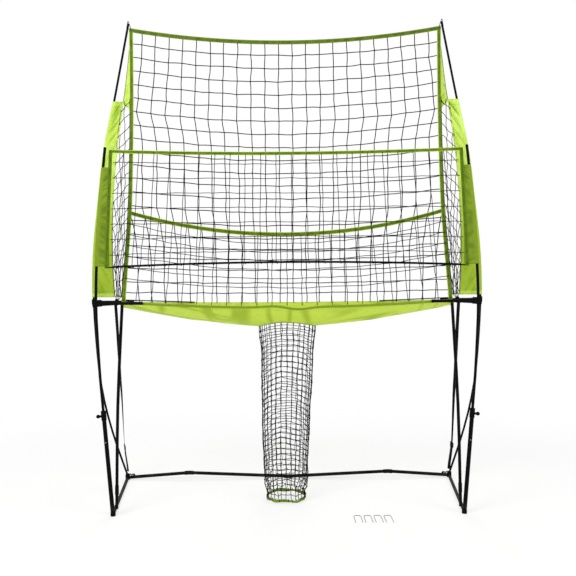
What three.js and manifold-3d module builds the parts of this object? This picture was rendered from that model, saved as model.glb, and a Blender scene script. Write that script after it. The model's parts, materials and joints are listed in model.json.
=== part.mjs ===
// Volleyball practice net: a free-standing frame with a front net, a tall catching net behind it,
// and a cloth pan between them that drops the balls down a net chute.
// Millimetres, +Z up. The player stands at -Y. The pieces are placed about the middle of the base, and
// the whole group then moves back, so that the origin lies on the floor under the middle of the set.
import * as THREE from "three";
import { mergeVertices } from "three/addons/utils/BufferGeometryUtils.js";
import Module from "manifold-3d";

const wasm = await Module();
wasm.setup();

// Driving dimensions
const gap = 0.3; // clearance between pieces that touch
const overrun = 5; // how far a cutter passes beyond what it cuts

const base = {
  frontHalf: 1171, // middle of the frame to a front foot
  rearHalf: 1279, // middle of the frame to a rear corner
  frontY: -465,
  rearY: 465,
  tubeRadius: 12,
  barRadius: 13,
  barRise: 34, // how far the crossbar lifts at its two outer joints
  barJointHalf: 790, // middle to an outer joint of the crossbar
  jointRadius: 16,
  jointLength: 70,
  footRadius: 17,
  footHeight: 34,
  cornerRadius: 18,
  cornerHeight: 46,
};

const socket = {
  radius: 14.2,
  boreClearance: 0.5,
  height: 700, // top of the straight lower leg
  lean: 60, // how far the leg leans out over its height
  collarRadius: 17.6,
  collarLength: 62,
  holeRadius: 3.6,
  holeStep: 180, // from the hole in use down to the next one
  pinDrop: 34, // from the top of the socket to the pin
};

const frontPole = {
  radius: 9.5,
  insertion: 250, // length inside the socket
  panHalf: 1275,
  panHeight: 1430,
  topHalf: 1206,
  topHeight: 2457,
  shoulderHalf: 1253,
  shoulderHeight: 1964,
  blockReach: 35, // from the pole's middle to the flat inner face of its block
  blockDepth: 34,
  blockHeight: 46,
  blockOuter: 20,
};

const tallPole = {
  radius: 8.3,
  height: 3462,
  tipHalf: 1150,
  bowHalf: 1490, // middle of the frame to the widest place of the bow
  tipY: 25,
  // Heights up the pole, and how much of the bow's width is there.
  heightShares: [0.012, 0.09, 0.161, 0.23, 0.322, 0.418, 0.49, 0.545, 0.632, 0.728, 0.844, 1],
  bowShares: [0.385, 0.629, 0.806, 0.918, 0.979, 1, 0.965, 0.912, 0.787, 0.64, 0.362, 0],
};

const tipLoop = { radius: 2.2, drop: 30, lift: 16 };

const arm = {
  height: 1416,
  thinRadius: 10.5,
  thinHalf: 964, // middle of the frame to the free end of the front arm
  shoulderHalf: 1130,
  thickHeight: 34,
  thickDepth: 30,
  capLength: 12,
  capRadius: 12,
  rearRadius: 10.5,
  rearHalf: 1180, // middle of the frame to the free end of the rear arm
  railHalf: 1312, // middle of the frame to the joint of rear arm and side rail
  railRadius: 9.5,
  knuckleRadius: 15,
  knuckleHeight: 40,
};

const strut = {
  radius: 10.4,
  bow: 22,
  topHalf: 1100,
  sleeveRadius: 13.2,
  sleeveLength: 60,
  sleeveHeight: 95,
};
const strap = {
  width: 25,
  thickness: 1.6,
  buckleHeight: 262,
  buckleWidth: 34,
  buckleLength: 46,
  buckleDepth: 12,
  footClearance: 18,
  ballRadius: 9,
  bungeeRadius: 2.6,
  bungeeReach: 50,
};

const knob = { pinRadius: 3.2, neckRadius: 8, neckLength: 7, ballRadius: 13, travel: 8 };

const tape = { width: 24, thickness: 2, frontWidth: 21, netGap: 1.7 };
const cord = { width: 5, thickness: 3 }; // one coarse mesh bar stands for several twine strands
const backNet = {
  columns: 12,
  rows: 8,
  cornerHalf: 1131,
  cornerHeight: 3416,
  sag: 100,
  midHalf: 1112,
  midY: -150,
  upperHalf: 1122,
  upperHeight: 2700,
  upperY: -25,
  backset: 150, // how far the middle of the net stands behind its edges at the pocket's mouth
  lowHalf: 1240,
};
const pocketNet = { columns: 11, rows: 4, cornerHeight: 2050, sag: 165, setForward: 30, lowHalf: 1095 };
const frontNet = {
  columns: 11,
  rows: 5,
  topHeight: 2431,
  sag: 24,
  topHalf: 1165,
  lowHalf: 1200,
  lowHeight: 1655,
  rodRadius: 4.7,
  rodRise: 26,
};
const sideNet = { columns: 3, rows: 6 };

const sleeve = {
  wall: 1.4,
  clearance: 2.2,
  edge: 2,
  rearTop: 2908,
  rearLow: 1452,
  rearTopWidth: 62,
  rearMidWidth: 108,
  rearLowWidth: 165,
  frontTop: 2322,
  frontLow: 1663,
  frontTopWidth: 55,
  frontLowWidth: 88,
  setForward: 9, // how far the free edge of the rear sleeve stands before its pole
};

const pan = {
  wall: 3,
  frontHemSag: 42,
  rearHemSag: 12,
  depthEnd: 36, // depth of the sling at its ends
  depthMiddle: 168, // depth of the sling at the chute
  holeRadius: 205,
  holeY: -100,
};
const chute = {
  columns: 10,
  rows: 8,
  throatRadius: 178,
  lowRadius: 162,
  ringRadius: 137,
  ringTube: 13,
  floorClearance: 1,
};

const stake = {
  radius: 2.2,
  width: 46,
  legLength: 143,
  bendRadius: 9,
  pitch: 66,
  firstX: 452,
  y: -504, // the closed end; the legs point at the player
};

// Finishes
const blackMetal = new THREE.MeshStandardMaterial({ color: 0x17181a, roughness: 0.42, metalness: 0.6 });
const blackPlastic = new THREE.MeshStandardMaterial({ color: 0x121314, roughness: 0.6, metalness: 0 });
const webbing = new THREE.MeshStandardMaterial({ color: 0x1b1c1d, roughness: 0.9, metalness: 0 });
const limeCloth = new THREE.MeshStandardMaterial({ color: 0xb5d24a, roughness: 0.85, metalness: 0 });
const darkLime = new THREE.MeshStandardMaterial({ color: 0x7f9f23, roughness: 0.85, metalness: 0 });
const oliveTape = new THREE.MeshStandardMaterial({ color: 0x6c8a1c, roughness: 0.85, metalness: 0 });
const twine = new THREE.MeshStandardMaterial({ color: 0x2e2c30, roughness: 0.9, metalness: 0 });
const brightSteel = new THREE.MeshStandardMaterial({ color: 0xc9cbcd, roughness: 0.25, metalness: 1 });

const net = new THREE.Group();
const vec = (x, y, z) => new THREE.Vector3(x, y, z);
const mix = THREE.MathUtils.lerp;
const sides = [
  ["left", -1],
  ["right", 1],
];

function addMesh(name, geometry, material) {
  const mesh = new THREE.Mesh(geometry, material);
  mesh.name = name;
  net.add(mesh);
  return mesh;
}

// A round bar along a curve, with flat closed ends.
function barAlong(points, radius, steps, corners = 10) {
  const section = new THREE.Shape().absarc(0, 0, radius, 0, 2 * Math.PI);
  const path = points.length === 2
    ? new THREE.LineCurve3(points[0], points[1])
    : new THREE.CatmullRomCurve3(points);
  return new THREE.ExtrudeGeometry(section, {
    steps,
    curveSegments: corners / 2, // a full circle gets two points a segment
    extrudePath: path,
    bevelEnabled: false,
  });
}

// Turns a piece made about +Y at the origin so that it stands at a place along a direction.
function standAt(geometry, place, direction) {
  const turn = new THREE.Quaternion().setFromUnitVectors(vec(0, 1, 0), direction.clone().normalize());
  return geometry.applyQuaternion(turn).translate(place.x, place.y, place.z);
}

function solidBar(from, to, radius, corners = 12) {
  const length = from.distanceTo(to);
  const bar = new THREE.CylinderGeometry(radius, radius, length, corners);
  return standAt(bar, from.clone().lerp(to, 1 / 2), to.clone().sub(from));
}

// The corner radius of a bore whose flat sides clear a round bar by the gap.
const boreFor = (radius, clearance = gap, corners = 12) => (radius + clearance) / Math.cos(Math.PI / corners);

// A straight tube, open at both ends.
function hollowBar(from, to, radius, bore, corners = 12) {
  const length = from.distanceTo(to);
  const profile = [
    new THREE.Vector2(bore, 0),
    new THREE.Vector2(radius, 0),
    new THREE.Vector2(radius, length),
    new THREE.Vector2(bore, length),
    new THREE.Vector2(bore, 0),
  ];
  return standAt(new THREE.LatheGeometry(profile, corners), from, to.clone().sub(from));
}

// Booleans: a closed geometry to a solid and back.
function asSolid(geometry) {
  const bare = geometry.clone();
  bare.deleteAttribute("normal");
  bare.deleteAttribute("uv");
  const merged = mergeVertices(bare, 1e-3);
  return new wasm.Manifold(
    new wasm.Mesh({
      numProp: 3,
      vertProperties: new Float32Array(merged.attributes.position.array),
      triVerts: new Uint32Array(merged.index.array),
    }),
  );
}

function asGeometry(solid) {
  const made = solid.getMesh();
  return new THREE.BufferGeometry()
    .setAttribute("position", new THREE.BufferAttribute(new Float32Array(made.vertProperties), 3))
    .setIndex(new THREE.BufferAttribute(new Uint32Array(made.triVerts), 1));
}

const join = (...pieces) => asGeometry(pieces.map(asSolid).reduce((a, b) => a.add(b)));
const cut = (piece, ...cutters) =>
  asGeometry(cutters.map(asSolid).reduce((a, b) => a.subtract(b), asSolid(piece)));

function fromFaces(points, faces) {
  const geometry = new THREE.BufferGeometry().setFromPoints(points).setIndex(faces);
  geometry.computeVertexNormals();
  return geometry;
}

// A closed skin over rings of the same number of points: outer rings from end to end, and, for a
// piece with a bore, the bore's rings too.
function loft(outer, inner = null) {
  const count = outer[0].length;
  const points = outer.flat().concat(inner ? inner.flat() : []);
  const shift = outer.length * count;
  const at = (ring, k, side = 0) => side * shift + ring * count + (k % count);
  const faces = [];
  const quad = (a, b, c, d) => faces.push(a, b, c, a, c, d);
  for (let ring = 0; ring + 1 < outer.length; ring++)
    for (let k = 0; k < count; k++) {
      quad(at(ring, k), at(ring, k + 1), at(ring + 1, k + 1), at(ring + 1, k));
      if (inner) quad(at(ring + 1, k, 1), at(ring + 1, k + 1, 1), at(ring, k + 1, 1), at(ring, k, 1));
    }
  const last = outer.length - 1;
  if (inner)
    for (let k = 0; k < count; k++) {
      quad(at(0, k + 1), at(0, k), at(0, k, 1), at(0, k + 1, 1));
      quad(at(last, k), at(last, k + 1), at(last, k + 1, 1), at(last, k, 1));
    }
  else
    for (let k = 1; k + 1 < count; k++) {
      faces.push(at(0, 0), at(0, k + 1), at(0, k));
      faces.push(at(last, 0), at(last, k), at(last, k + 1));
    }
  return facingOut(fromFaces(points, faces));
}

// Turns every face round where a closed skin points inwards.
function facingOut(geometry) {
  const p = geometry.attributes.position;
  const index = geometry.index.array;
  const corner = (i) => new THREE.Vector3().fromBufferAttribute(p, index[i]);
  let volume = 0;
  for (let i = 0; i < index.length; i += 3)
    volume += corner(i).dot(corner(i + 1).cross(corner(i + 2)));
  if (volume < 0)
    for (let i = 0; i < index.length; i += 3)
      [index[i + 1], index[i + 2]] = [index[i + 2], index[i + 1]];
  geometry.computeVertexNormals();
  return geometry;
}

// A flat tape along points, with its width along one direction and its thickness along another.
function tapeAlong(points, width, thickness, across, through) {
  const w = across.clone().normalize().multiplyScalar(width / 2);
  const t = through.clone().normalize().multiplyScalar(thickness / 2);
  return loft(
    points.map((p) => [
      p.clone().sub(w).sub(t),
      p.clone().add(w).sub(t),
      p.clone().add(w).add(t),
      p.clone().sub(w).add(t),
    ]),
  );
}

// A net as one closed lattice on a surface place(u, v), u and v from 0 to 1, with square-cut bars.
// wraps joins the last column to the first, as on a tube.
function lattice(place, columns, rows, bar, wraps = false) {
  const spread = (count, isRound) => {
    const lines = [];
    for (let i = 0; i <= count - (isRound ? 1 : 0); i++) lines.push([i / count, -1], [i / count, 1]);
    return lines;
  };
  const across = spread(columns, wraps);
  const down = spread(rows, false);
  const small = 1e-4;
  const pitchU = (u, v) => place(u + small, v).distanceTo(place(u - small, v)) / (2 * small);
  const pitchV = (u, v) => place(u, v + small).distanceTo(place(u, v - small)) / (2 * small);
  const front = [];
  const back = [];
  for (const [v, sideV] of down)
    for (const [u, sideU] of across) {
      const uu = u + (sideU * bar.width) / 2 / pitchU(u, v);
      const vv = v + (sideV * bar.width) / 2 / pitchV(u, v);
      const p = place(uu, vv);
      const du = place(uu + small, vv).sub(place(uu - small, vv));
      const dv = place(uu, vv + small).sub(place(uu, vv - small));
      const n = du.cross(dv).normalize().multiplyScalar(bar.thickness / 2);
      front.push(p.clone().add(n));
      back.push(p.clone().sub(n));
    }
  const wide = across.length;
  const cellsU = wraps ? wide : wide - 1;
  const cellsV = down.length - 1;
  const at = (i, j, side) => side * front.length + j * wide + (i % wide);
  const isOpen = (i, j) => {
    if (j < 0 || j >= cellsV) return true;
    if (!wraps && (i < 0 || i >= cellsU)) return true;
    return i % 2 !== 0 && j % 2 !== 0;
  };
  const faces = [];
  const quad = (a, b, c, d) => faces.push(a, b, c, a, c, d);
  for (let j = 0; j < cellsV; j++)
    for (let i = 0; i < cellsU; i++) {
      if (isOpen(i, j)) continue;
      const left = wraps ? (i + cellsU - 1) % cellsU : i - 1;
      const right = wraps ? (i + 1) % cellsU : i + 1;
      quad(at(i, j, 0), at(i + 1, j, 0), at(i + 1, j + 1, 0), at(i, j + 1, 0));
      quad(at(i, j + 1, 1), at(i + 1, j + 1, 1), at(i + 1, j, 1), at(i, j, 1));
      if (isOpen(i, j - 1)) quad(at(i, j, 1), at(i + 1, j, 1), at(i + 1, j, 0), at(i, j, 0));
      if (isOpen(i, j + 1)) quad(at(i, j + 1, 0), at(i + 1, j + 1, 0), at(i + 1, j + 1, 1), at(i, j + 1, 1));
      if (isOpen(left, j)) quad(at(i, j, 0), at(i, j + 1, 0), at(i, j + 1, 1), at(i, j, 1));
      if (isOpen(right, j)) quad(at(i + 1, j, 1), at(i + 1, j + 1, 1), at(i + 1, j + 1, 0), at(i + 1, j, 0));
    }
  return facingOut(fromFaces(front.concat(back), faces));
}

// Base: two side tubes, a crossbar of four lengths joined by sleeves, corner fittings and front feet
const footAt = (s) => vec(s * base.frontHalf, base.frontY, 0);
const cornerAt = (s) => vec(s * base.rearHalf, base.rearY, 0);
const sideStart = (s) => {
  const run = cornerAt(s).sub(footAt(s)).normalize();
  return {
    from: footAt(s).addScaledVector(run, base.footRadius + gap).setZ(base.tubeRadius),
    to: cornerAt(s).addScaledVector(run, -base.cornerRadius - gap).setZ(base.tubeRadius),
  };
};

const barOuter = (s) => vec(s * base.rearHalf, base.rearY, base.jointRadius);
const barJoint = (s) => vec(s * base.barJointHalf, base.rearY, base.jointRadius + base.barRise);
const barMiddle = vec(0, base.rearY, base.jointRadius);
const barSlope = base.barRise / (base.rearHalf - base.barJointHalf);
const innerSlope = base.barRise / base.barJointHalf;

function crossbarLength(from, to, startGap, endGap) {
  const run = to.clone().sub(from).normalize();
  return solidBar(
    from.clone().addScaledVector(run, startGap),
    to.clone().addScaledVector(run, -endGap),
    base.barRadius,
  );
}

function makeBase() {
  for (const [side, s] of sides) {
    const { from, to } = sideStart(s);
    addMesh(`${side}_floor_tube`, solidBar(from, to, base.tubeRadius, 16), blackMetal);
    const foot = new THREE.LatheGeometry(
      [
        new THREE.Vector2(0, 0),
        new THREE.Vector2(base.footRadius, 0),
        new THREE.Vector2(base.footRadius, base.footHeight - overrun),
        new THREE.Vector2(base.footRadius - overrun, base.footHeight),
        new THREE.Vector2(0, base.footHeight),
      ],
      18,
    ).rotateX(Math.PI / 2);
    const place = footAt(s);
    addMesh(`${side}_front_foot`, foot.translate(place.x, place.y, place.z), blackPlastic);
    const corner = new THREE.LatheGeometry(
      [
        new THREE.Vector2(0, 0),
        new THREE.Vector2(base.cornerRadius, 0),
        new THREE.Vector2(base.cornerRadius, base.cornerHeight - overrun),
        new THREE.Vector2(base.cornerRadius - overrun, base.cornerHeight),
        new THREE.Vector2(0, base.cornerHeight),
      ],
      18,
    ).rotateX(Math.PI / 2);
    const end = cornerAt(s);
    const poleHole = solidBar(
      tallAt(s, tallPole.heightShares[0] * tallPole.height - gap),
      tallAt(s, base.cornerHeight + overrun),
      tallPole.radius + gap,
      16,
    );
    addMesh(`${side}_rear_corner`, cut(corner.translate(end.x, end.y, end.z), poleHole), blackPlastic);
    addMesh(
      `${side}_crossbar_outer`,
      crossbarLength(barOuter(s), barJoint(s), base.cornerRadius + gap + base.barRadius * barSlope, gap / 2),
      blackMetal,
    );
    addMesh(
      `${side}_crossbar_inner`,
      crossbarLength(barJoint(s), barMiddle, base.barRadius / 4, gap + base.barRadius * innerSlope),
      blackMetal,
    );
    const bend = barJoint(s);
    const outward = barOuter(s).sub(bend).normalize();
    const inward = barMiddle.clone().sub(bend).normalize();
    const half = base.jointLength / 2;
    const shell = join(
      solidBar(bend, bend.clone().addScaledVector(outward, half), base.jointRadius),
      solidBar(bend, bend.clone().addScaledVector(inward, half), base.jointRadius),
    );
    addMesh(
      `${side}_crossbar_sleeve`,
      cut(
        shell,
        ...[outward, inward].map((run) =>
          solidBar(
            bend.clone().addScaledVector(run, -overrun),
            bend.clone().addScaledVector(run, base.jointLength),
            boreFor(base.barRadius),
          ),
        ),
      ),
      blackMetal,
    );
  }
  const half = base.jointLength / 2;
  const bore = boreFor(base.barRadius);
  const middle = hollowBar(
    barMiddle.clone().setX(-half),
    barMiddle.clone().setX(half),
    base.jointRadius,
    bore + half * innerSlope,
  );
  addMesh("crossbar_middle_sleeve", middle, blackMetal);
}

// Front legs: straight sockets that lean out, with a locking collar and two holes
const legAxis = (s) => vec(s * socket.lean, 0, socket.height).normalize();
const legAt = (s, height) => footAt(s).addScaledVector(legAxis(s), height / legAxis(s).z);
const pinHeight = socket.height - socket.pinDrop;
const outAlong = (s) => vec(0, 0, 1).multiplyScalar(-s * legAxis(s).x).add(vec(s * legAxis(s).z, 0, 0));

function makeSockets() {
  for (const [side, s] of sides) {
    const bore = boreFor(frontPole.radius, socket.boreClearance);
    const low = legAt(s, base.footHeight + socket.radius * legAxis(1).x + gap);
    const top = legAt(s, socket.height);
    const collarLow = legAt(s, socket.height - socket.collarLength);
    const hole = (height) =>
      solidBar(
        legAt(s, height),
        legAt(s, height).addScaledVector(outAlong(s), socket.collarRadius + overrun),
        socket.holeRadius,
        12,
      );
    const tube = hollowBar(low, top, socket.radius, bore);
    const collar = hollowBar(collarLow, top, socket.collarRadius, bore);
    addMesh(
      `${side}_leg_socket`,
      cut(join(tube, collar), hole(pinHeight), hole(pinHeight - socket.holeStep)),
      blackMetal,
    );
  }
}

function makeKnobs() {
  for (const [side, s] of sides) {
    const start = frontPole.radius + gap;
    const neck = socket.collarRadius + gap;
    const end = neck + knob.neckLength;
    const ball = end + knob.ballRadius;
    const profile = [
      new THREE.Vector2(0, start),
      new THREE.Vector2(knob.pinRadius, start),
      new THREE.Vector2(knob.pinRadius, neck),
      new THREE.Vector2(knob.neckRadius, neck),
      new THREE.Vector2(knob.neckRadius, end),
    ];
    const first = Math.asin(knob.neckRadius / knob.ballRadius);
    const turns = 7;
    for (let i = 1; i < turns; i++) {
      const angle = mix(first, Math.PI, i / turns);
      const [out, back] = [Math.sin(angle), Math.cos(angle)].map((share) => share * knob.ballRadius);
      profile.push(new THREE.Vector2(out, ball - back));
    }
    profile.push(new THREE.Vector2(0, ball + knob.ballRadius));
    const place = legAt(s, pinHeight);
    const turned = new THREE.LatheGeometry(profile, 10);
    addMesh(`${side}_lock_knob`, standAt(turned, place, outAlong(s)), blackPlastic);
  }
}

// Front poles: straight as far as they slide into the socket, then bowed to the pan and in again to
// the net's top
const straightHeight = socket.height + socket.holeStep + overrun;
const polePoints = (s) => [
  legAt(s, pinHeight - frontPole.insertion),
  legAt(s, pinHeight - frontPole.insertion / 2),
  legAt(s, socket.height),
  legAt(s, straightHeight),
  legAt(s, straightHeight + socket.collarLength),
  vec(
    s * mix(legAt(1, straightHeight).x, frontPole.panHalf, 3 / 4),
    base.frontY,
    mix(straightHeight, frontPole.panHeight, 5 / 8),
  ),
  vec(s * frontPole.panHalf, base.frontY, frontPole.panHeight),
  vec(s * frontPole.shoulderHalf, base.frontY, frontPole.shoulderHeight),
  vec(s * frontPole.topHalf, base.frontY, frontPole.topHeight),
];
const poleCurve = (s) => new THREE.CatmullRomCurve3(polePoints(s));

// The place on the front pole at a height, found on its curve.
function poleAt(s, height) {
  const curve = poleCurve(s);
  let low = 0;
  let high = 1;
  while (high - low > 1e-6) {
    const middle = (low + high) / 2;
    if (curve.getPoint(middle).z < height) low = middle;
    else high = middle;
  }
  return curve.getPoint(low);
}

function makeFrontPoles() {
  for (const [side, s] of sides) {
    const pole = barAlong(polePoints(s), frontPole.radius, 16, 10);
    const place = poleAt(s, arm.height);
    const width = frontPole.blockReach + frontPole.blockOuter;
    const block = new THREE.BoxGeometry(width, frontPole.blockDepth, frontPole.blockHeight)
      .translate((s * (frontPole.blockOuter - frontPole.blockReach)) / 2, 0, 0)
      .rotateY(Math.atan2(s * socket.lean, socket.height))
      .translate(place.x, place.y, place.z);
    addMesh(`${side}_front_pole`, join(pole, block), blackMetal);
  }
}

// Tall poles: one long bow from the rear corner to the top of the catching net
const tallPoints = (s) =>
  tallPole.heightShares.map((share, i) =>
    vec(
      s * mix(tallPole.tipHalf, tallPole.bowHalf, tallPole.bowShares[i]),
      mix(base.rearY, tallPole.tipY, share),
      share * tallPole.height,
    ),
  );

function tallAt(s, height) {
  const places = tallPoints(s);
  if (height <= places[0].z) {
    const run = places[1].clone().sub(places[0]);
    return places[0].clone().addScaledVector(run, (height - places[0].z) / run.z);
  }
  const curve = new THREE.CatmullRomCurve3(places);
  let low = 0;
  let high = 1;
  while (high - low > 1e-6) {
    const middle = (low + high) / 2;
    if (curve.getPoint(middle).z < height) low = middle;
    else high = middle;
  }
  return curve.getPoint(low);
}

function makeTallPoles() {
  for (const [side, s] of sides) {
    addMesh(`${side}_tall_pole`, barAlong(tallPoints(s), tallPole.radius, 28, 8), blackMetal);
    const tip = tallAt(s, tallPole.height);
    const reach = tallPole.radius + gap + tipLoop.radius;
    const inner = tip.x - s * reach;
    const outer = tip.x + s * reach;
    const low = tip.z - tipLoop.drop;
    const crown = tip.z + tipLoop.radius + gap + tipLoop.lift;
    const points = [
      vec(outer + s * (tipLoop.drop * poleTilt), tip.y, low),
      vec(outer, tip.y, tip.z),
      vec(tip.x, tip.y, crown),
      vec(inner, tip.y, tip.z),
      vec(inner - s * gap, tip.y, low),
    ];
    addMesh(`${side}_tip_loop`, barAlong(points, tipLoop.radius, 10, 6), webbing);
  }
}
const poleTilt =
  (tallPoints(1).at(-2).x - tallPoints(1).at(-1).x) / (tallPoints(1).at(-1).z - tallPoints(1).at(-2).z);

// Arms at pan height: a front arm on each side, a side rail and a short rear arm
const frontArmEnd = (s) => {
  const place = poleAt(s, arm.height);
  return place.x - (s * (frontPole.blockReach + gap)) / legAxis(s).z;
};
const rearArmStart = (s) => tallAt(s, arm.height);
const railFront = (s) => vec(s * arm.shoulderHalf, base.frontY, arm.height);
const railRear = (s) => vec(s * arm.railHalf, rearArmStart(s).y, arm.height);

function makeArms() {
  for (const [side, s] of sides) {
    const outer = frontArmEnd(s);
    const half = arm.thickHeight / 2;
    const lean = (half * socket.lean) / socket.height;
    const profile = new THREE.Shape([
      new THREE.Vector2(s * arm.shoulderHalf, -arm.thinRadius),
      new THREE.Vector2(outer - s * lean, -half),
      new THREE.Vector2(outer + s * lean, half),
      new THREE.Vector2(s * arm.shoulderHalf, arm.thinRadius + overrun / 2),
    ]);
    const web = new THREE.ExtrudeGeometry(profile, { depth: arm.thickDepth, bevelEnabled: false })
      .translate(0, 0, -arm.thickDepth / 2)
      .rotateX(Math.PI / 2)
      .translate(0, base.frontY, arm.height);
    const thin = solidBar(
      railFront(s).setX(s * (arm.shoulderHalf + half)),
      railFront(s).setX(s * arm.thinHalf),
      arm.thinRadius,
    );
    const cap = solidBar(
      railFront(s).setX(s * (arm.thinHalf + arm.capLength)),
      railFront(s).setX(s * arm.thinHalf),
      arm.capRadius,
    );
    addMesh(`${side}_front_arm`, join(web, thin, cap), blackMetal);
    const rail = railRear(s).sub(railFront(s)).normalize();
    addMesh(
      `${side}_side_rail`,
      solidBar(
        railFront(s).addScaledVector(rail, arm.thickDepth / 2 / rail.y + gap + arm.railRadius / 2),
        railRear(s).addScaledVector(rail, -arm.knuckleRadius - gap),
        arm.railRadius,
      ),
      blackMetal,
    );
    const poleSide = rearArmStart(s);
    const bar = solidBar(
      railRear(s).setX(s * arm.rearHalf),
      poleSide.clone().setX(poleSide.x - s * (tallPole.radius + gap)),
      arm.rearRadius,
    );
    const low = railRear(s).setZ(arm.height - arm.knuckleHeight / 2);
    const high = low.clone().setZ(arm.height + arm.knuckleHeight / 2);
    const knuckle = solidBar(low, high, arm.knuckleRadius, 16);
    const ring = solidBar(
      tallAt(s, arm.height - arm.knuckleHeight / 2),
      tallAt(s, arm.height + arm.knuckleHeight / 2),
      arm.knuckleRadius,
      16,
    );
    const hole = solidBar(
      tallAt(s, arm.height - arm.knuckleHeight),
      tallAt(s, arm.height + arm.knuckleHeight),
      tallPole.radius + 2 * gap,
      16,
    );
    addMesh(`${side}_rear_arm`, cut(join(bar, knuckle, ring), hole), blackMetal);
  }
}

// Struts from the front feet to the arms, with a joining sleeve near the foot
function makeStruts() {
  for (const [side, s] of sides) {
    const lowHalf = base.frontHalf - socket.radius - strut.radius - gap;
    const low = vec(s * lowHalf, base.frontY, base.footHeight + strut.sleeveRadius);
    const top = vec(s * strut.topHalf, base.frontY, arm.height - arm.thinRadius - 2 * gap);
    const middle = low.clone().lerp(top, 1 / 2).add(vec((s * strut.bow) / 2, 0, 0));
    const points = [low, middle, top];
    const bar = barAlong(points, strut.radius, 6, 10);
    const curve = new THREE.CatmullRomCurve3(points);
    const t = strut.sleeveHeight / (top.z - low.z);
    const from = curve.getPointAt(t);
    const to = curve.getPointAt(t + strut.sleeveLength / (top.z - low.z));
    addMesh(`${side}_strut`, join(bar, solidBar(from, to, strut.sleeveRadius)), blackMetal);
  }
}

// Webbing straps from the rear corners up to the side rails, each with a buckle and an elastic tie
const strapTop = (s) => railRear(s).setZ(arm.height - arm.knuckleHeight / 2 - 2 * gap);
const strapLow = (s) =>
  cornerAt(s).setZ(base.cornerHeight + strap.footClearance).setX(s * (base.rearHalf - base.cornerRadius));

function makeStraps() {
  for (const [side, s] of sides) {
    const top = strapTop(s);
    const low = strapLow(s);
    const along = top.clone().sub(low).normalize();
    const across = vec(along.z, 0, -along.x);
    const through = new THREE.Vector3().crossVectors(along, across);
    const at = (height) => low.clone().addScaledVector(along, (height - low.z) / along.z);
    const buckle = at(strap.buckleHeight);
    const half = strap.buckleLength / 2;
    const box = new THREE.BoxGeometry(strap.buckleWidth, strap.buckleDepth, strap.buckleLength);
    const slot = new THREE.BoxGeometry(
      strap.width + 2 * gap,
      strap.thickness + 4 * gap,
      strap.buckleLength + overrun,
    );
    const pose = new THREE.Matrix4().makeBasis(across, through, along).setPosition(buckle);
    box.applyMatrix4(pose);
    slot.applyMatrix4(pose);
    addMesh(`${side}_buckle`, cut(box, slot), blackPlastic);
    const run = [low, at(half + strap.buckleHeight), top];
    addMesh(`${side}_strap`, tapeAlong(run, strap.width, strap.thickness, across, through), webbing);
    const ball = low.clone().add(vec(-s * strap.bungeeReach, 0, -strap.footClearance));
    const tie = barAlong(
      [
        low.clone().add(vec(-s * (strap.width / 2 + gap), 0, 0)),
        low.clone().lerp(ball, 1 / 2).add(vec(0, 0, -strap.bungeeRadius)),
        ball,
      ],
      strap.bungeeRadius,
      6,
      6,
    );
    const bead = new THREE.SphereGeometry(strap.ballRadius, 10, 6).translate(ball.x, ball.y, ball.z);
    addMesh(`${side}_tie`, join(tie, bead), blackPlastic);
  }
}

// Catching net: its edge runs down from the pole tips, then back to the rear hem of the pan
const edgeTop = backNet.cornerHeight - tape.width / 2;
const rearHemHeight = arm.height;
const frontHemHeight = arm.height + arm.thinRadius;
const panFrontY = base.frontY + arm.capRadius + gap + pan.wall / 2;
const panRearY = tallAt(1, arm.height).y - arm.rearRadius - gap - pan.wall / 2;
// From the middle of a tape to the net laid on it.
const lap = (tape.thickness + cord.thickness) / 2 + tape.netGap;
// The parabola through three places, reached at t = 0, 1/2 and 1.
const bend3 = (a, b, c, t) =>
  a
    .clone()
    .multiplyScalar((1 - t) * (1 - 2 * t))
    .addScaledVector(b, 4 * t * (1 - t))
    .addScaledVector(c, t * (2 * t - 1));
const upperEdge = (s, t) =>
  bend3(
    vec(s * backNet.cornerHalf, tallPole.tipY, edgeTop),
    vec(s * backNet.upperHalf, backNet.upperY, backNet.upperHeight),
    vec(s * backNet.midHalf, backNet.midY, pocketNet.cornerHeight),
    t,
  );
const lowerEdge = (s, t) =>
  vec(
    s * mix(backNet.midHalf, pocketNet.lowHalf, t),
    mix(backNet.midY, panFrontY + lap, t),
    mix(pocketNet.cornerHeight, frontHemHeight, t),
  );

// How far a tape held at both ends hangs down at a distance from the middle.
const sagAt = (x, half, sag) => sag * (1 - (x / half) ** 2);
const topHalf = tallAt(1, backNet.cornerHeight).x - tallPole.radius - 2 * gap - tape.width * poleTilt;

// How much of the net's height lies above the pocket's mouth.
const mouthShare = (edgeTop - pocketNet.cornerHeight) / (edgeTop - rearHemHeight);
const ease = (t) => t * t * (3 - 2 * t);

function backNetAt(u, v) {
  const side = 2 * u - 1;
  const round = 1 - side * side;
  const edgeGap = gap + cord.width / 2;
  const isUpper = v <= mouthShare;
  const t = isUpper ? v / mouthShare : (v - mouthShare) / (1 - mouthShare);
  const edge = isUpper
    ? upperEdge(1, t)
    : vec(
        mix(backNet.midHalf, backNet.lowHalf, t),
        mix(backNet.midY, panRearY - lap - cord.width, t),
        mix(pocketNet.cornerHeight, rearHemHeight, t),
      );
  const clearance = edgeGap + tape.netGap;
  const topHang = sagAt(edge.x * side, topHalf, backNet.sag) + clearance;
  const hang = mix(topHang, pan.rearHemSag * round - clearance, v);
  const set = round * backNet.backset * (isUpper ? ease(t) : 1 - ease(t) * ease(t));
  return vec(side * edge.x, edge.y + lap + set, edge.z - hang);
}

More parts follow.
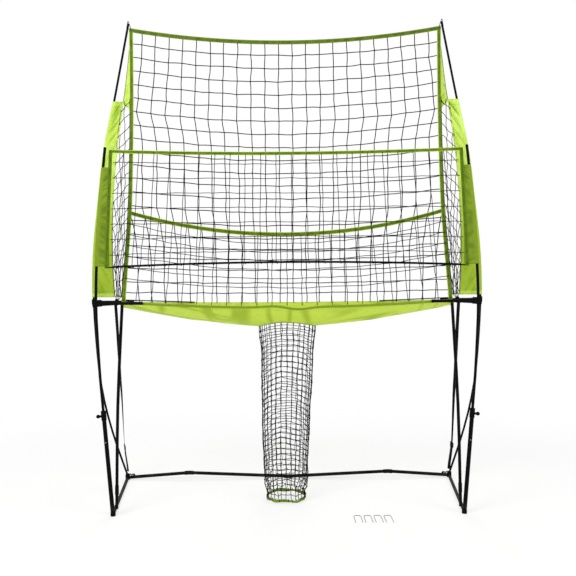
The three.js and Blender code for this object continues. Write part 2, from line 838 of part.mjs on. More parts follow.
// The pocket net leans forward from the edge tapes' bend to the front hem of the pan.
const netClearance = gap + cord.width / 2 + tape.netGap;
const pocketLow = (round) => frontHemHeight - pan.frontHemSag * round + netClearance;
function pocketY(z, round) {
  const t = (pocketNet.cornerHeight - z) / (pocketNet.cornerHeight - pocketLow(round));
  return mix(backNet.midY, panFrontY + lap, t) - pocketNet.setForward * round * (1 - t);
}

function pocketNetAt(u, v) {
  const side = 2 * u - 1;
  const round = 1 - side * side;
  const top = pocketNet.cornerHeight - pocketNet.sag * round - tape.width / 2 - netClearance;
  const z = mix(top, pocketLow(round), v);
  return vec(side * mix(backNet.midHalf, pocketNet.lowHalf, v), pocketY(z, round) - lap, z);
}

const topTapePoints = (z, half, y, sag, steps) => {
  const points = [];
  for (let i = 0; i <= steps; i++) {
    const x = mix(-half, half, i / steps);
    points.push(vec(x, y, z - sagAt(x, half, sag)));
  }
  return points;
};

function makeBackNet() {
  addMesh("back_net", lattice(backNetAt, backNet.columns, backNet.rows, cord), twine);
  addMesh(
    "back_top_tape",
    tapeAlong(
      topTapePoints(backNet.cornerHeight, topHalf, tallPole.tipY, backNet.sag, 2 * backNet.columns),
      tape.width,
      tape.thickness,
      vec(0, 0, 1),
      vec(0, 1, 0),
    ),
    oliveTape,
  );
  for (const [side, s] of sides) {
    const points = [];
    const upperSteps = 6;
    const lowerSteps = 4;
    for (let i = 0; i <= upperSteps; i++) points.push(upperEdge(s, i / upperSteps));
    for (let i = 1; i <= lowerSteps; i++) points.push(lowerEdge(s, i / lowerSteps));
    points[0].z -= gap + sagAt(backNet.cornerHalf - tape.width / 2, topHalf, backNet.sag);
    points.at(-1).z += tape.netGap;
    const edge = tapeAlong(points, tape.width, tape.thickness, vec(1, 0, 0), vec(0, 1, 0));
    addMesh(`${side}_edge_tape`, edge, oliveTape);
  }
}

function makePocketNet() {
  addMesh("pocket_net", lattice(pocketNetAt, pocketNet.columns, pocketNet.rows, cord), twine);
  const points = [];
  const steps = 2 * pocketNet.columns;
  const half = backNet.midHalf - tape.width / 2 - 2 * gap;
  for (let i = 0; i <= steps; i++) {
    const side = (2 * i) / steps - 1;
    const round = 1 - side * side;
    const z = pocketNet.cornerHeight - pocketNet.sag * round;
    points.push(vec(side * half, pocketY(z, round) - lap, z));
  }
  const mouth = tapeAlong(points, tape.width, tape.thickness, vec(0, 0, 1), vec(0, 1, 0));
  addMesh("pocket_tape", mouth, oliveTape);
}

// Sleeves: cloth pockets round the poles, each drawn in at its top hem, with a flap towards the net
function sleeveOn(poleFn, radius, s, [low, high], steps, widthAt, forward) {
  const outer = [];
  const inner = [];
  const turns = 10;
  for (let i = 0; i <= steps; i++) {
    const z = mix(low, high, i / steps);
    const c = poleFn(s, z);
    const ringOut = [];
    const ringIn = [];
    const bore = i === steps ? boreFor(radius, gap / 2, turns) : radius + sleeve.clearance;
    for (let k = 0; k < turns; k++) {
      const angle = ((2 * k + 1) * Math.PI) / turns;
      const at = (reach) => vec(c.x + s * reach * Math.cos(angle), c.y + reach * Math.sin(angle), z);
      const isFlap = Math.cos(angle) < -Math.cos(Math.PI / 6);
      const back = Math.sign(Math.sin(angle)) * (sleeve.edge / 2);
      const flap = vec(c.x - s * widthAt(i / steps), c.y - forward + back, z);
      ringOut.push(isFlap ? flap : at(bore + sleeve.wall));
      ringIn.push(at(bore));
    }
    outer.push(ringOut);
    inner.push(ringIn);
  }
  return loft(outer, inner);
}

const rearWidth = (t) =>
  t > 1 / 2
    ? mix(sleeve.rearMidWidth, sleeve.rearTopWidth, 2 * t - 1)
    : mix(sleeve.rearLowWidth, sleeve.rearMidWidth, 2 * t);
const frontWidth = (t) => mix(sleeve.frontLowWidth, sleeve.frontTopWidth, t);
const rearSleeveRange = [sleeve.rearLow, sleeve.rearTop];
const frontSleeveRange = [sleeve.frontLow, sleeve.frontTop];
const frontSetForward = frontPole.radius - sleeve.edge / 2;

function makeSleeves() {
  for (const [side, s] of sides) {
    addMesh(
      `${side}_rear_sleeve`,
      sleeveOn(tallAt, tallPole.radius + gap, s, rearSleeveRange, 10, rearWidth, sleeve.setForward),
      limeCloth,
    );
    addMesh(
      `${side}_front_sleeve`,
      sleeveOn(poleAt, frontPole.radius + gap, s, frontSleeveRange, 8, frontWidth, frontSetForward),
      darkLime,
    );
  }
}

// Side nets: from the flap of the rear sleeve to the edge tape
function makeSideNets() {
  const step = 2 * gap + Math.hypot(cord.width, cord.thickness) / 2;
  for (const [side, s] of sides) {
    const high = sleeve.rearTop - cord.width;
    const low = sleeve.rearLow + cord.width;
    const rise = high - low;
    const place = (u, v) => {
      const z = high - v * rise;
      const share = (z - sleeve.rearLow) / (sleeve.rearTop - sleeve.rearLow);
      const pole = tallAt(s, z);
      const flap = vec(pole.x - s * (rearWidth(share) + step), pole.y - sleeve.setForward, z);
      const edge = edgeAt(s, z);
      edge.x += s * (tape.width / 2 + step);
      return flap.lerp(edge, u);
    };
    addMesh(`${side}_side_net`, lattice(place, sideNet.columns, sideNet.rows, cord), twine);
  }
}

// The edge tape's place at a height.
function edgeAt(s, z) {
  const drop = pocketNet.cornerHeight - z;
  if (drop >= 0) return lowerEdge(s, drop / (pocketNet.cornerHeight - frontHemHeight));
  let low = 0;
  let high = 1;
  while (high - low > 1e-6) {
    const middle = (low + high) / 2;
    if (upperEdge(s, middle).z > z) low = middle;
    else high = middle;
  }
  return upperEdge(s, low);
}

// Front net: top and side tapes, mesh and the spreader rod along its foot
// The net hangs before the sleeves, because the poles close in a little as they are lowered.
const poleFace = base.frontY - frontPole.radius;
const sleeveFace = poleFace - gap - sleeve.clearance - sleeve.wall;
const frontTapeHalf = frontPole.topHalf + frontPole.radius;
const netPlane = sleeveFace - gap - cord.thickness / 2;
const tapePlane = sleeveFace - gap - tape.thickness / 2;

function frontNetAt(u, v) {
  const side = 2 * u - 1;
  const inset = gap + cord.width / 2;
  const half = mix(frontNet.topHalf, frontNet.lowHalf, v) - tape.frontWidth / 2 - inset;
  const round = 1 - side * side;
  const hem = frontNet.topHeight - sagAt(side * half, frontTapeHalf, frontNet.sag) - tape.frontWidth / 2;
  const top = hem - inset - gap;
  const low = frontNet.lowHeight + frontNet.rodRise * round;
  return vec(side * half, netPlane, mix(top, low, v));
}

function makeFrontNet() {
  addMesh("front_net", lattice(frontNetAt, frontNet.columns, frontNet.rows, cord), twine);
  const steps = 2 * frontNet.columns;
  const across = topTapePoints(frontNet.topHeight, frontTapeHalf, tapePlane, frontNet.sag, steps);
  across.splice(1, 0, across[0].clone().lerp(across[1], 1 / 3));
  across.splice(-1, 0, across.at(-1).clone().lerp(across.at(-2), 1 / 3));
  for (const end of [0, -1]) across.at(end).y = poleFace - gap - tape.thickness / 2; // tied to the poles
  const top = tapeAlong(across, tape.frontWidth, tape.thickness, vec(0, 0, 1), vec(0, 1, 0));
  const downs = sides.map(([, s]) =>
    tapeAlong(
      [
        vec(s * frontNet.topHalf, tapePlane, frontNet.topHeight),
        vec(s * frontNet.lowHalf, tapePlane, frontNet.lowHeight - cord.width),
      ],
      tape.frontWidth,
      tape.thickness,
      vec(1, 0, 0),
      vec(0, 1, 0),
    ),
  );
  addMesh("front_tape", join(top, ...downs), oliveTape);
  const rodY = netPlane + cord.thickness / 2 + gap + frontNet.rodRadius;
  const points = [];
  const bends = 8;
  for (let i = 0; i <= bends; i++) {
    const side = (2 * i) / bends - 1;
    const z = frontNet.lowHeight + frontNet.rodRise * (1 - side * side);
    points.push(vec(side * frontNet.lowHalf, rodY, z));
  }
  addMesh("spreader_rod", barAlong(points, frontNet.rodRadius, 12, 8), blackMetal);
}

// Pan: a cloth sling from the front hem to the rear hem, with the chute's hole in its middle
const panHalf = (v) => mix(pocketNet.lowHalf, backNet.lowHalf, v) + tape.width / 2;
function panAt(u, v) {
  const side = 2 * u - 1;
  const round = 1 - side * side;
  const half = panHalf(v);
  const front = frontHemHeight - pan.frontHemSag * round;
  const rear = rearHemHeight - pan.rearHemSag * round;
  const depth = mix(pan.depthEnd, pan.depthMiddle, (1 - Math.abs(side)) * (1 + Math.abs(side) / 2));
  const dip = Math.pow(Math.sin(Math.PI * v), 3 / 4);
  const y = mix(panFrontY, panRearY, v);
  return vec(side * half, y, mix(front, rear, v) - depth * dip);
}

// A cloth of even thickness over a surface place(u, v), closed round its four edges.
function sheet(place, columns, rows, thickness) {
  const front = [];
  const back = [];
  const small = 1e-3;
  const share = (k, count) => Math.min(Math.max(k / count, 0), 1);
  for (let i = 0; i <= columns; i++)
    for (let j = 0; j <= rows; j++) {
      const u = share(i, columns);
      const v = share(j, rows);
      const u0 = Math.max(u - small, 0);
      const u1 = Math.min(u + small, 1);
      const v0 = Math.max(v - small, small);
      const v1 = Math.min(v + small, 1 - small);
      const du = place(u1, v).sub(place(u0, v));
      const dv = place(u, Math.max(v1, 2 * small)).sub(place(u, Math.min(v0, 1 - 2 * small)));
      const n = du.cross(dv).normalize().multiplyScalar(thickness / 2);
      front.push(place(u, v).add(n));
      back.push(place(u, v).sub(n));
    }
  const at = (i, j, side) => side * front.length + i * (rows + 1) + j;
  const faces = [];
  const quad = (a, b, c, d) => faces.push(a, b, c, a, c, d);
  for (let i = 0; i < columns; i++)
    for (let j = 0; j < rows; j++) {
      quad(at(i, j, 0), at(i + 1, j, 0), at(i + 1, j + 1, 0), at(i, j + 1, 0));
      quad(at(i, j + 1, 1), at(i + 1, j + 1, 1), at(i + 1, j, 1), at(i, j, 1));
    }
  for (let i = 0; i < columns; i++) {
    quad(at(i, 0, 1), at(i + 1, 0, 1), at(i + 1, 0, 0), at(i, 0, 0));
    quad(at(i, rows, 0), at(i + 1, rows, 0), at(i + 1, rows, 1), at(i, rows, 1));
  }
  for (let j = 0; j < rows; j++) {
    quad(at(0, j, 0), at(0, j + 1, 0), at(0, j + 1, 1), at(0, j, 1));
    quad(at(columns, j, 1), at(columns, j + 1, 1), at(columns, j + 1, 0), at(columns, j, 0));
  }
  return facingOut(fromFaces(front.concat(back), faces));
}

function makePan() {
  const sling = sheet(panAt, 14, 10, pan.wall);
  const hole = new THREE.CylinderGeometry(pan.holeRadius, pan.holeRadius, arm.height, 2 * chute.columns)
    .rotateX(Math.PI / 2)
    .translate(0, pan.holeY, arm.height);
  addMesh("pan", cut(sling, hole), limeCloth);
}

// The height of the pan's cloth over a place on the floor.
function panHeight(x, y) {
  const v = (y - panFrontY) / (panRearY - panFrontY);
  return panAt(x / (2 * panHalf(v)) + 1 / 2, v).z;
}

// The chute hangs inside the rim of the pan's hole, narrows below it, and ends on its ring.
function chuteAt(u, v) {
  const angle = 2 * Math.PI * u;
  const mouth = pan.holeRadius - 2 * gap - cord.thickness / 2;
  const low = chute.floorClearance + 2 * chute.ringTube + gap + cord.width / 2;
  const radius =
    v < 1 / 8
      ? mix(mouth, chute.throatRadius, ease(8 * v))
      : v < 7 / 8
        ? mix(chute.throatRadius, chute.lowRadius, (8 * v - 1) / 6)
        : mix(chute.lowRadius, chute.ringRadius, ease(8 * v - 7));
  const rim = panHeight(mouth * Math.cos(angle), pan.holeY + mouth * Math.sin(angle));
  return vec(radius * Math.cos(angle), pan.holeY + radius * Math.sin(angle), mix(rim, low, v));
}

function makeChute() {
  addMesh("chute_net", lattice(chuteAt, chute.columns, chute.rows, cord, true), twine);
  const ring = new THREE.TorusGeometry(chute.ringRadius, chute.ringTube, 8, 24).translate(
    0,
    pan.holeY,
    chute.ringTube + chute.floorClearance,
  );
  addMesh("chute_ring", ring, limeCloth);
}

// Ground stakes: four steel staples lying beside the base
function makeStakes() {
  const count = 4;
  for (let i = 0; i < count; i++) {
    const x = stake.firstX + i * stake.pitch;
    const half = stake.width / 2;
    const z = stake.radius;
    const corner = (sx) => vec(x + sx * half, stake.y, z);
    const path = new THREE.CurvePath();
    const leg = (sx, from, to) =>
      new THREE.LineCurve3(vec(x + sx * half, from, z), vec(x + sx * half, to, z));
    const top = stake.y;
    const near = top - stake.legLength;
    path.add(leg(-1, near, top - stake.bendRadius));
    path.add(
      new THREE.QuadraticBezierCurve3(
        vec(x - half, top - stake.bendRadius, z),
        corner(-1),
        vec(x - half + stake.bendRadius, top, z),
      ),
    );
    const bridge = half - stake.bendRadius;
    path.add(new THREE.LineCurve3(vec(x - bridge, top, z), vec(x + bridge, top, z)));
    path.add(
      new THREE.QuadraticBezierCurve3(
        vec(x + half - stake.bendRadius, top, z),
        corner(1),
        vec(x + half, top - stake.bendRadius, z),
      ),
    );
    path.add(leg(1, top - stake.bendRadius, near));
    const section = new THREE.Shape().absarc(0, 0, stake.radius, 0, 2 * Math.PI);
    const bar = new THREE.ExtrudeGeometry(section, {
      steps: 18,
      curveSegments: 3,
      extrudePath: path,
      bevelEnabled: false,
    });
    addMesh(`stake_${i + 1}`, bar, brightSteel);
  }
}

makeBase();
makeSockets();
makeKnobs();
makeFrontPoles();
makeTallPoles();
makeArms();
makeStruts();
makeStraps();
makeBackNet();
makePocketNet();
makeSleeves();
makeSideNets();
makeFrontNet();
makePan();
makeChute();
makeStakes();

// From the middle of the base to the middle of the set, the stakes in front of it included.
net.position.y = -(stake.y - stake.legLength + base.rearY + base.cornerRadius) / 2;

export default net;
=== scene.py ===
import json
import random
from math import atan2, copysign, cos, exp, hypot, pi, radians, sin, tau
import bmesh
import bpy
from mathutils import Matrix, Vector, noise


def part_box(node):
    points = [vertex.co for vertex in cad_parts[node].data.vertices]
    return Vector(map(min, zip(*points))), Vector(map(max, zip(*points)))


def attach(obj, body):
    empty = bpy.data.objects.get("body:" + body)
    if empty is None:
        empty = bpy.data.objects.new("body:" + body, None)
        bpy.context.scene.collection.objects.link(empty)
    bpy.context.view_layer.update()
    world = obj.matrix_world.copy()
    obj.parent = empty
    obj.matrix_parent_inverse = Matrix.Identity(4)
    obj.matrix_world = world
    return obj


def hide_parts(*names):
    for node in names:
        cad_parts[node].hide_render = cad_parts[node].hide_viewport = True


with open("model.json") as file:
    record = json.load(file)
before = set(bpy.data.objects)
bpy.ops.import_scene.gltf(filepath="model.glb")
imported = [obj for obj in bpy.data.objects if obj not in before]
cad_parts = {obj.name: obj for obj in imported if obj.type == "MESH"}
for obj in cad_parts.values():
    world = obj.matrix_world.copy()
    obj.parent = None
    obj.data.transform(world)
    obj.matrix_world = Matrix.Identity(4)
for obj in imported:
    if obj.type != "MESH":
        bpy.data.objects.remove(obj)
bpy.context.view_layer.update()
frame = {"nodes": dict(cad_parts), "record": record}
nodes = frame["nodes"]
sides = {"left": -1, "right": 1}
up, forward, right = Vector((0, 0, 1)), Vector((0, 1, 0)), Vector((1, 0, 0))
print("frame:", len(nodes), "nodes")


# Shader maths
class Wire:
    def __init__(self, look, socket):
        self.look, self.socket = look, socket

    def maths(self, operation, other=0.0, isSwapped=False):
        pair = (other, self) if isSwapped else (self, other)
        return self.look.node("ShaderNodeMath", {"operation": operation}, dict(enumerate(pair)))

    def __add__(self, other): return self.maths("ADD", other)
    def __sub__(self, other): return self.maths("SUBTRACT", other)
    def __rsub__(self, other): return self.maths("SUBTRACT", other, True)
    def __mul__(self, other): return self.maths("MULTIPLY", other)
    def __truediv__(self, other): return self.maths("DIVIDE", other)
    def __abs__(self): return self.maths("ABSOLUTE")
    __radd__, __rmul__ = __add__, __mul__

    def out(self, name):
        return Wire(self.look, self.socket.node.outputs[name])

    def rise(self, low, high):  # 0 below low, 1 above high, smooth between
        settings = {"interpolation_type": "SMOOTHSTEP"}
        return self.look.node("ShaderNodeMapRange", settings, {0: self, 1: low, 2: high})


class Look:
    def __init__(self, name, holder=None):
        self.material = holder or bpy.data.materials.new(name)
        self.material.use_nodes = True
        self.tree = self.material.node_tree
        self.shader = self.tree.nodes.get("Principled BSDF") or self.tree.nodes["Background"]

    def node(self, kind, settings=None, inputs=None, output=0):
        made = self.tree.nodes.new(kind)
        for key, value in (settings or {}).items():
            setattr(made, key, value)
        for key, value in (inputs or {}).items():
            self.feed(made.inputs[key], value)
        return Wire(self, made.outputs[output])

    def feed(self, socket, value):
        if isinstance(value, Wire):
            self.tree.links.new(value.socket, socket)
        else:
            socket.default_value = value

    def place(self):
        return self.node("ShaderNodeTexCoord", output="Object")

    def axes(self, place):
        return self.node("ShaderNodeSeparateXYZ", {}, {0: place})

    def layer(self, name):  # one of the places that each mesh carries
        return self.axes(self.node("ShaderNodeUVMap", {"uv_map": name}))

    def tint(self, share, first, second):
        return self.node("ShaderNodeMix", {"data_type": "RGBA"}, {0: share, 6: first, 7: second}, 2)

    def noise(self, place, scale, detail=3.0, roughness=0.5):
        return self.node("ShaderNodeTexNoise", {}, {
            "Vector": place, "Scale": scale, "Detail": detail, "Roughness": roughness})

    def stretched(self, place, amount):
        return self.node("ShaderNodeVectorMath", {"operation": "MULTIPLY"}, {0: place, 1: amount})

    def bumped(self, height, distance, strength):
        facts = {"Strength": strength, "Distance": distance, "Height": height}
        self.feed(self.shader.inputs["Normal"], self.node("ShaderNodeBump", {}, facts))

    def dress(self, **values):
        for key, value in values.items():
            self.feed(self.shader.inputs[key.replace("_", " ")], value)
        return self.material

    def cover(self, share, white, output):  # puts a white shader over this one
        under = Wire(self, self.shader.outputs[0])
        blend = self.node("ShaderNodeMixShader", {}, {0: share, 1: under, 2: white})
        self.feed(self.tree.nodes[output].inputs["Surface"], blend)


def paint(tone):  # a screen colour as the shader's own
    shares = [value / 255 for value in tone]
    return (*(v / 12.92 if v <= 0.04045 else ((v + 0.055) / 1.055) ** 2.4 for v in shares), 1.0)


def palette(**tones):
    return {name: paint(tone) for name, tone in tones.items()}


# Finishes
powderCoat = palette(base=(10, 10, 11), scuff=(34, 34, 36), dust=(52, 51, 49))
castPlastic = palette(base=(10, 10, 11), worn=(26, 26, 28))
# low is the colour each cloth fades to below about 2.2 m; where darker than base, it is painted shade
limeNylon = palette(base=(196, 226, 88), pale=(210, 242, 112), deep=(118, 152, 10), low=(160, 187, 50))
# the pan's cloth is the same lime nylon painted lighter: painted light on the shaded pan
panNylonLightened = palette(base=(204, 228, 78), pale=(214, 240, 92), deep=(156, 184, 34), low=(204, 228, 78))
mossNylon = palette(base=(120, 145, 26), pale=(128, 153, 34), deep=(84, 108, 6), low=(116, 141, 24))
# edge is each tape's lighter colour at its folded edges, a painted sheen
oliveWeb = palette(core=(90, 112, 22), shade=(70, 92, 8), edge=(112, 138, 34), thread=(116, 140, 38))
sheenEdgedTape = palette(core=(94, 118, 24), shade=(74, 98, 10), edge=(182, 210, 84), thread=(120, 146, 40))
oliveBand = palette(core=(82, 108, 10), shade=(66, 92, 4), edge=(104, 132, 22), thread=(110, 138, 26))
netCord = palette(base=(22, 20, 24), dark=(7, 7, 8))
blackWeb = palette(base=(13, 13, 14), rib=(25, 25, 27))
zincPlate = palette(base=(138, 140, 144), dull=(96, 98, 102))
pitches = {"weave": 0.0011, "hemStitch": 0.005, "tapeRib": 0.0016, "tapeStitch": 0.0045, "twist": 0.006,
           "webRib": 0.0022, "webWarp": 0.0014}


def stripes(along, pitch):  # 0 to 1 and back over each pitch
    return (along * (tau / pitch)).maths("SINE") * 0.5 + 0.5


def makeCoat():
    look = Look("black_powder_coat")
    place = look.place()
    grain, cloud = look.noise(place, 420.0, 2.0), look.noise(place, 11.0, 5.0)
    scuffs = look.noise(look.stretched(place, (60.0, 60.0, 9.0)), 1.0, 7.0, 0.7).rise(0.66, 0.74)
    nearFloor = 1 - look.axes(place).out("Z").rise(0.0, 0.11)
    dust = nearFloor * cloud.rise(0.35, 0.7) * 0.5
    worn = look.tint(scuffs * 0.2, powderCoat["base"], powderCoat["scuff"])
    look.bumped(grain + cloud * 0.6, 0.00035, 0.45)
    return look.dress(Base_Color=look.tint(dust, worn, powderCoat["dust"]), Specular_IOR_Level=0.04,
                      Roughness=0.36 + cloud * 0.16 + dust * 0.3 + scuffs * 0.12)


def makePlastic():
    look = Look("black_moulded_plastic")
    place = look.place()
    pores = look.node("ShaderNodeTexVoronoi", {}, {"Vector": place, "Scale": 900.0})
    cloud = look.noise(place, 40.0, 4.0)
    look.bumped(pores + cloud, 0.0004, 0.5)
    shade = look.tint(cloud.rise(0.55, 0.75) * 0.5, castPlastic["base"], castPlastic["worn"])
    return look.dress(Base_Color=shade, Roughness=0.5 + cloud * 0.14, Specular_IOR_Level=0.05)


def makeCloth(name, colours):
    look = Look(name)
    place, metres = look.place(), look.layer("metres")
    weave = stripes(metres.out("X"), pitches["weave"]) * stripes(metres.out("Y"), pitches["weave"])
    cloud = look.noise(place, 7.0, 4.0)
    creases = look.noise(look.stretched(place, (34.0, 34.0, 13.0)), 1.0, 3.0, 0.55)
    fromMiddle = abs(look.layer("shares").out("X") - 0.5)
    seam = 1 - abs(fromMiddle - 0.472).rise(0.0006, 0.0016)
    stitch = seam * stripes(metres.out("Y"), pitches["hemStitch"]).rise(0.35, 0.5)
    shade = look.tint(cloud.rise(0.3, 0.7), colours["base"], colours["pale"])
    # painted shade: the cloth darkens towards its low colour lower down
    shade = look.tint(look.axes(place).out("Z").rise(1.75, 2.55), colours["low"], shade)
    fold = look.layer("folds").out("X").rise(0.0, 0.85)
    # painted shade: the cloth is darkened in crease beds, from the creases noise and from the folds each mesh
    # carries
    for share, tone in (((1 - creases.rise(0.3, 0.5)) * 0.16, "deep"), (fold * 0.9, "deep"),
                        (fromMiddle.rise(0.478, 0.482) * 0.4, "pale"), (stitch * 0.7, "deep"),
                        (weave * 0.12, "deep")):
        shade = look.tint(share, shade, colours[tone])
    look.bumped(weave * 0.12 + creases * 0.5 - stitch * 0.2, 0.0016, 0.5)
    return look.dress(Base_Color=shade, Roughness=0.72 + weave * 0.1, Specular_IOR_Level=0.25)


def makeTapeLook(name, colours):
    look = Look(name)
    along = look.layer("metres").out("X")
    ribs = stripes(along, pitches["tapeRib"])
    across = abs((look.layer("shares").out("Y") * 2).maths("FRACT") - 0.5) * 2  # 1 at the tape's edges
    cloud = look.noise(look.place(), 26.0, 4.0)
    seam = 1 - abs(across - 0.33).rise(0.02, 0.06)
    stitch = seam * stripes(along, pitches["tapeStitch"]).rise(0.3, 0.45)
    shade = look.tint(cloud.rise(0.38, 0.62), colours["core"], colours["shade"])
    # painted sheen: the tape is lighter towards its folded edges
    shade = look.tint(across.rise(0.44, 0.58), shade, colours["edge"])
    shade = look.tint(stitch * 0.8, shade, colours["thread"])
    look.bumped(ribs * 0.4 + stitch * 0.6 + cloud * 0.4, 0.0006, 0.6)
    return look.dress(Base_Color=shade, Roughness=0.78 + ribs * 0.08, Specular_IOR_Level=0.2)


def makeCordLook():
    look = Look("dark_net_twine")
    along, roundTwine = look.layer("metres").out("X"), look.layer("shares").out("Y")
    strand = 1 - abs((along / pitches["twist"] + roundTwine * 3).maths("FRACT") - 0.5) * 2
    fuzz = look.noise(look.place(), 700.0, 3.0)
    look.bumped(strand + fuzz * 0.4, 0.0005, 0.7)
    # painted shade: the twine is darker along the grooves between its plies
    shade = look.tint(strand.rise(0.0, 0.6), netCord["dark"], netCord["base"])
    return look.dress(Base_Color=shade, Roughness=0.7 + fuzz * 0.2, Specular_IOR_Level=0.05)


def makeWebLook():
    look = Look("black_webbing")
    metres = look.layer("metres")
    ribs = stripes(metres.out("X"), pitches["webRib"]) * stripes(metres.out("Y"), pitches["webWarp"])
    cloud = look.noise(look.place(), 30.0, 4.0)
    look.bumped(ribs + cloud * 0.4, 0.0006, 0.7)
    shade = look.tint(ribs, blackWeb["base"], blackWeb["rib"])
    return look.dress(Base_Color=shade, Roughness=0.75 + cloud * 0.15, Specular_IOR_Level=0.08)


def makeZinc():
    look = Look("bright_zinc")
    place = look.place()
    drawn = look.noise(look.stretched(place, (900.0, 12.0, 900.0)), 1.0, 3.0)
    spots = look.noise(place, 160.0, 5.0)
    look.bumped(drawn + spots * 0.5, 0.0002, 0.4)
    shade = look.tint(spots.rise(0.45, 0.7) * 0.6, zincPlate["base"], zincPlate["dull"])
    return look.dress(Base_Color=shade, Metallic=1.0, Roughness=0.22 + spots * 0.2 + drawn * 0.08)


looks = {
    "frame_metal": makeCoat(),
    "black_plastic": makePlastic(),
    "lime_cloth": makeCloth("lime_nylon", limeNylon),
    # painted light: the pan gets a lighter copy of the lime nylon
    "pan_cloth": makeCloth("pan_nylon_painted_lighter", panNylonLightened),
    "dark_lime_cloth": makeCloth("moss_nylon", mossNylon),
    "olive_tape": makeTapeLook("olive_binding_tape", oliveWeb),
    "sheen_edged_tape": makeTapeLook("sheen_edged_tape", sheenEdgedTape),
    "olive_band": makeTapeLook("olive_side_band", oliveBand),
    "net_twine": makeCordLook(),
    "webbing": makeWebLook(),
    "bright_steel": makeZinc(),
}
print("finishes:", len(looks))


# Small sums
def mix(first, last, share):
    return first + (last - first) * share


def evenly(first, last, count):  # count + 1 values from first to last
    return [mix(first, last, i / count) for i in range(count + 1)]


def clamp(value, low=0.0, high=1.0):
    return min(max(value, low), high)


def ease(share):
    share = clamp(share)
    return share * share * (3 - 2 * share)


def keyed(keys, place):  # a smooth value between (place, value) pairs in rising order of place
    if place <= keys[0][0]:
        return keys[0][1]
    for (lowPlace, low), (highPlace, high) in zip(keys, keys[1:]):
        if place <= highPlace:
            return mix(low, high, ease((place - lowPlace) / (highPlace - lowPlace)))
    return keys[-1][1]


def creaseAt(*place):  # 1 in the bed of a crease, 0 on the smooth cloth beside it
    return clamp(1 - abs(noise.noise(Vector(place))) * 4)


def around(centre, first, other, count):  # a ring of points, from first towards other
    return [centre + first * cos(tau * k / count) + other * sin(tau * k / count) for k in range(count)]


def curveThrough(points, count):  # a smooth line through points
    line, last = [], len(points) - 1
    for step in range(count + 1):
        i = min(int(step / count * last), last - 1)
        t = step / count * last - i
        a, b, c, d = (points[clamp(i + k, 0, last)] for k in (-1, 0, 1, 2))
        bend, rise = 2 * a - 5 * b + 4 * c - d, 3 * b - a - 3 * c + d
        line.append((2 * b + (c - a) * t + bend * t * t + rise * t ** 3) / 2)
    return line


# Meshes
def addObject(name, data):
    added = bpy.data.objects.new(name, data)
    bpy.context.scene.collection.objects.link(added)
    return added


webOutline = [(-1.0, 0.0), (-0.92, -0.8), (-0.5, -1.0), (0.0, -1.0), (0.5, -1.0), (0.92, -0.8),
              (1.0, 0.0), (0.92, 0.8), (0.5, 1.0), (0.0, 1.0), (-0.5, 1.0), (-0.92, 0.8)]


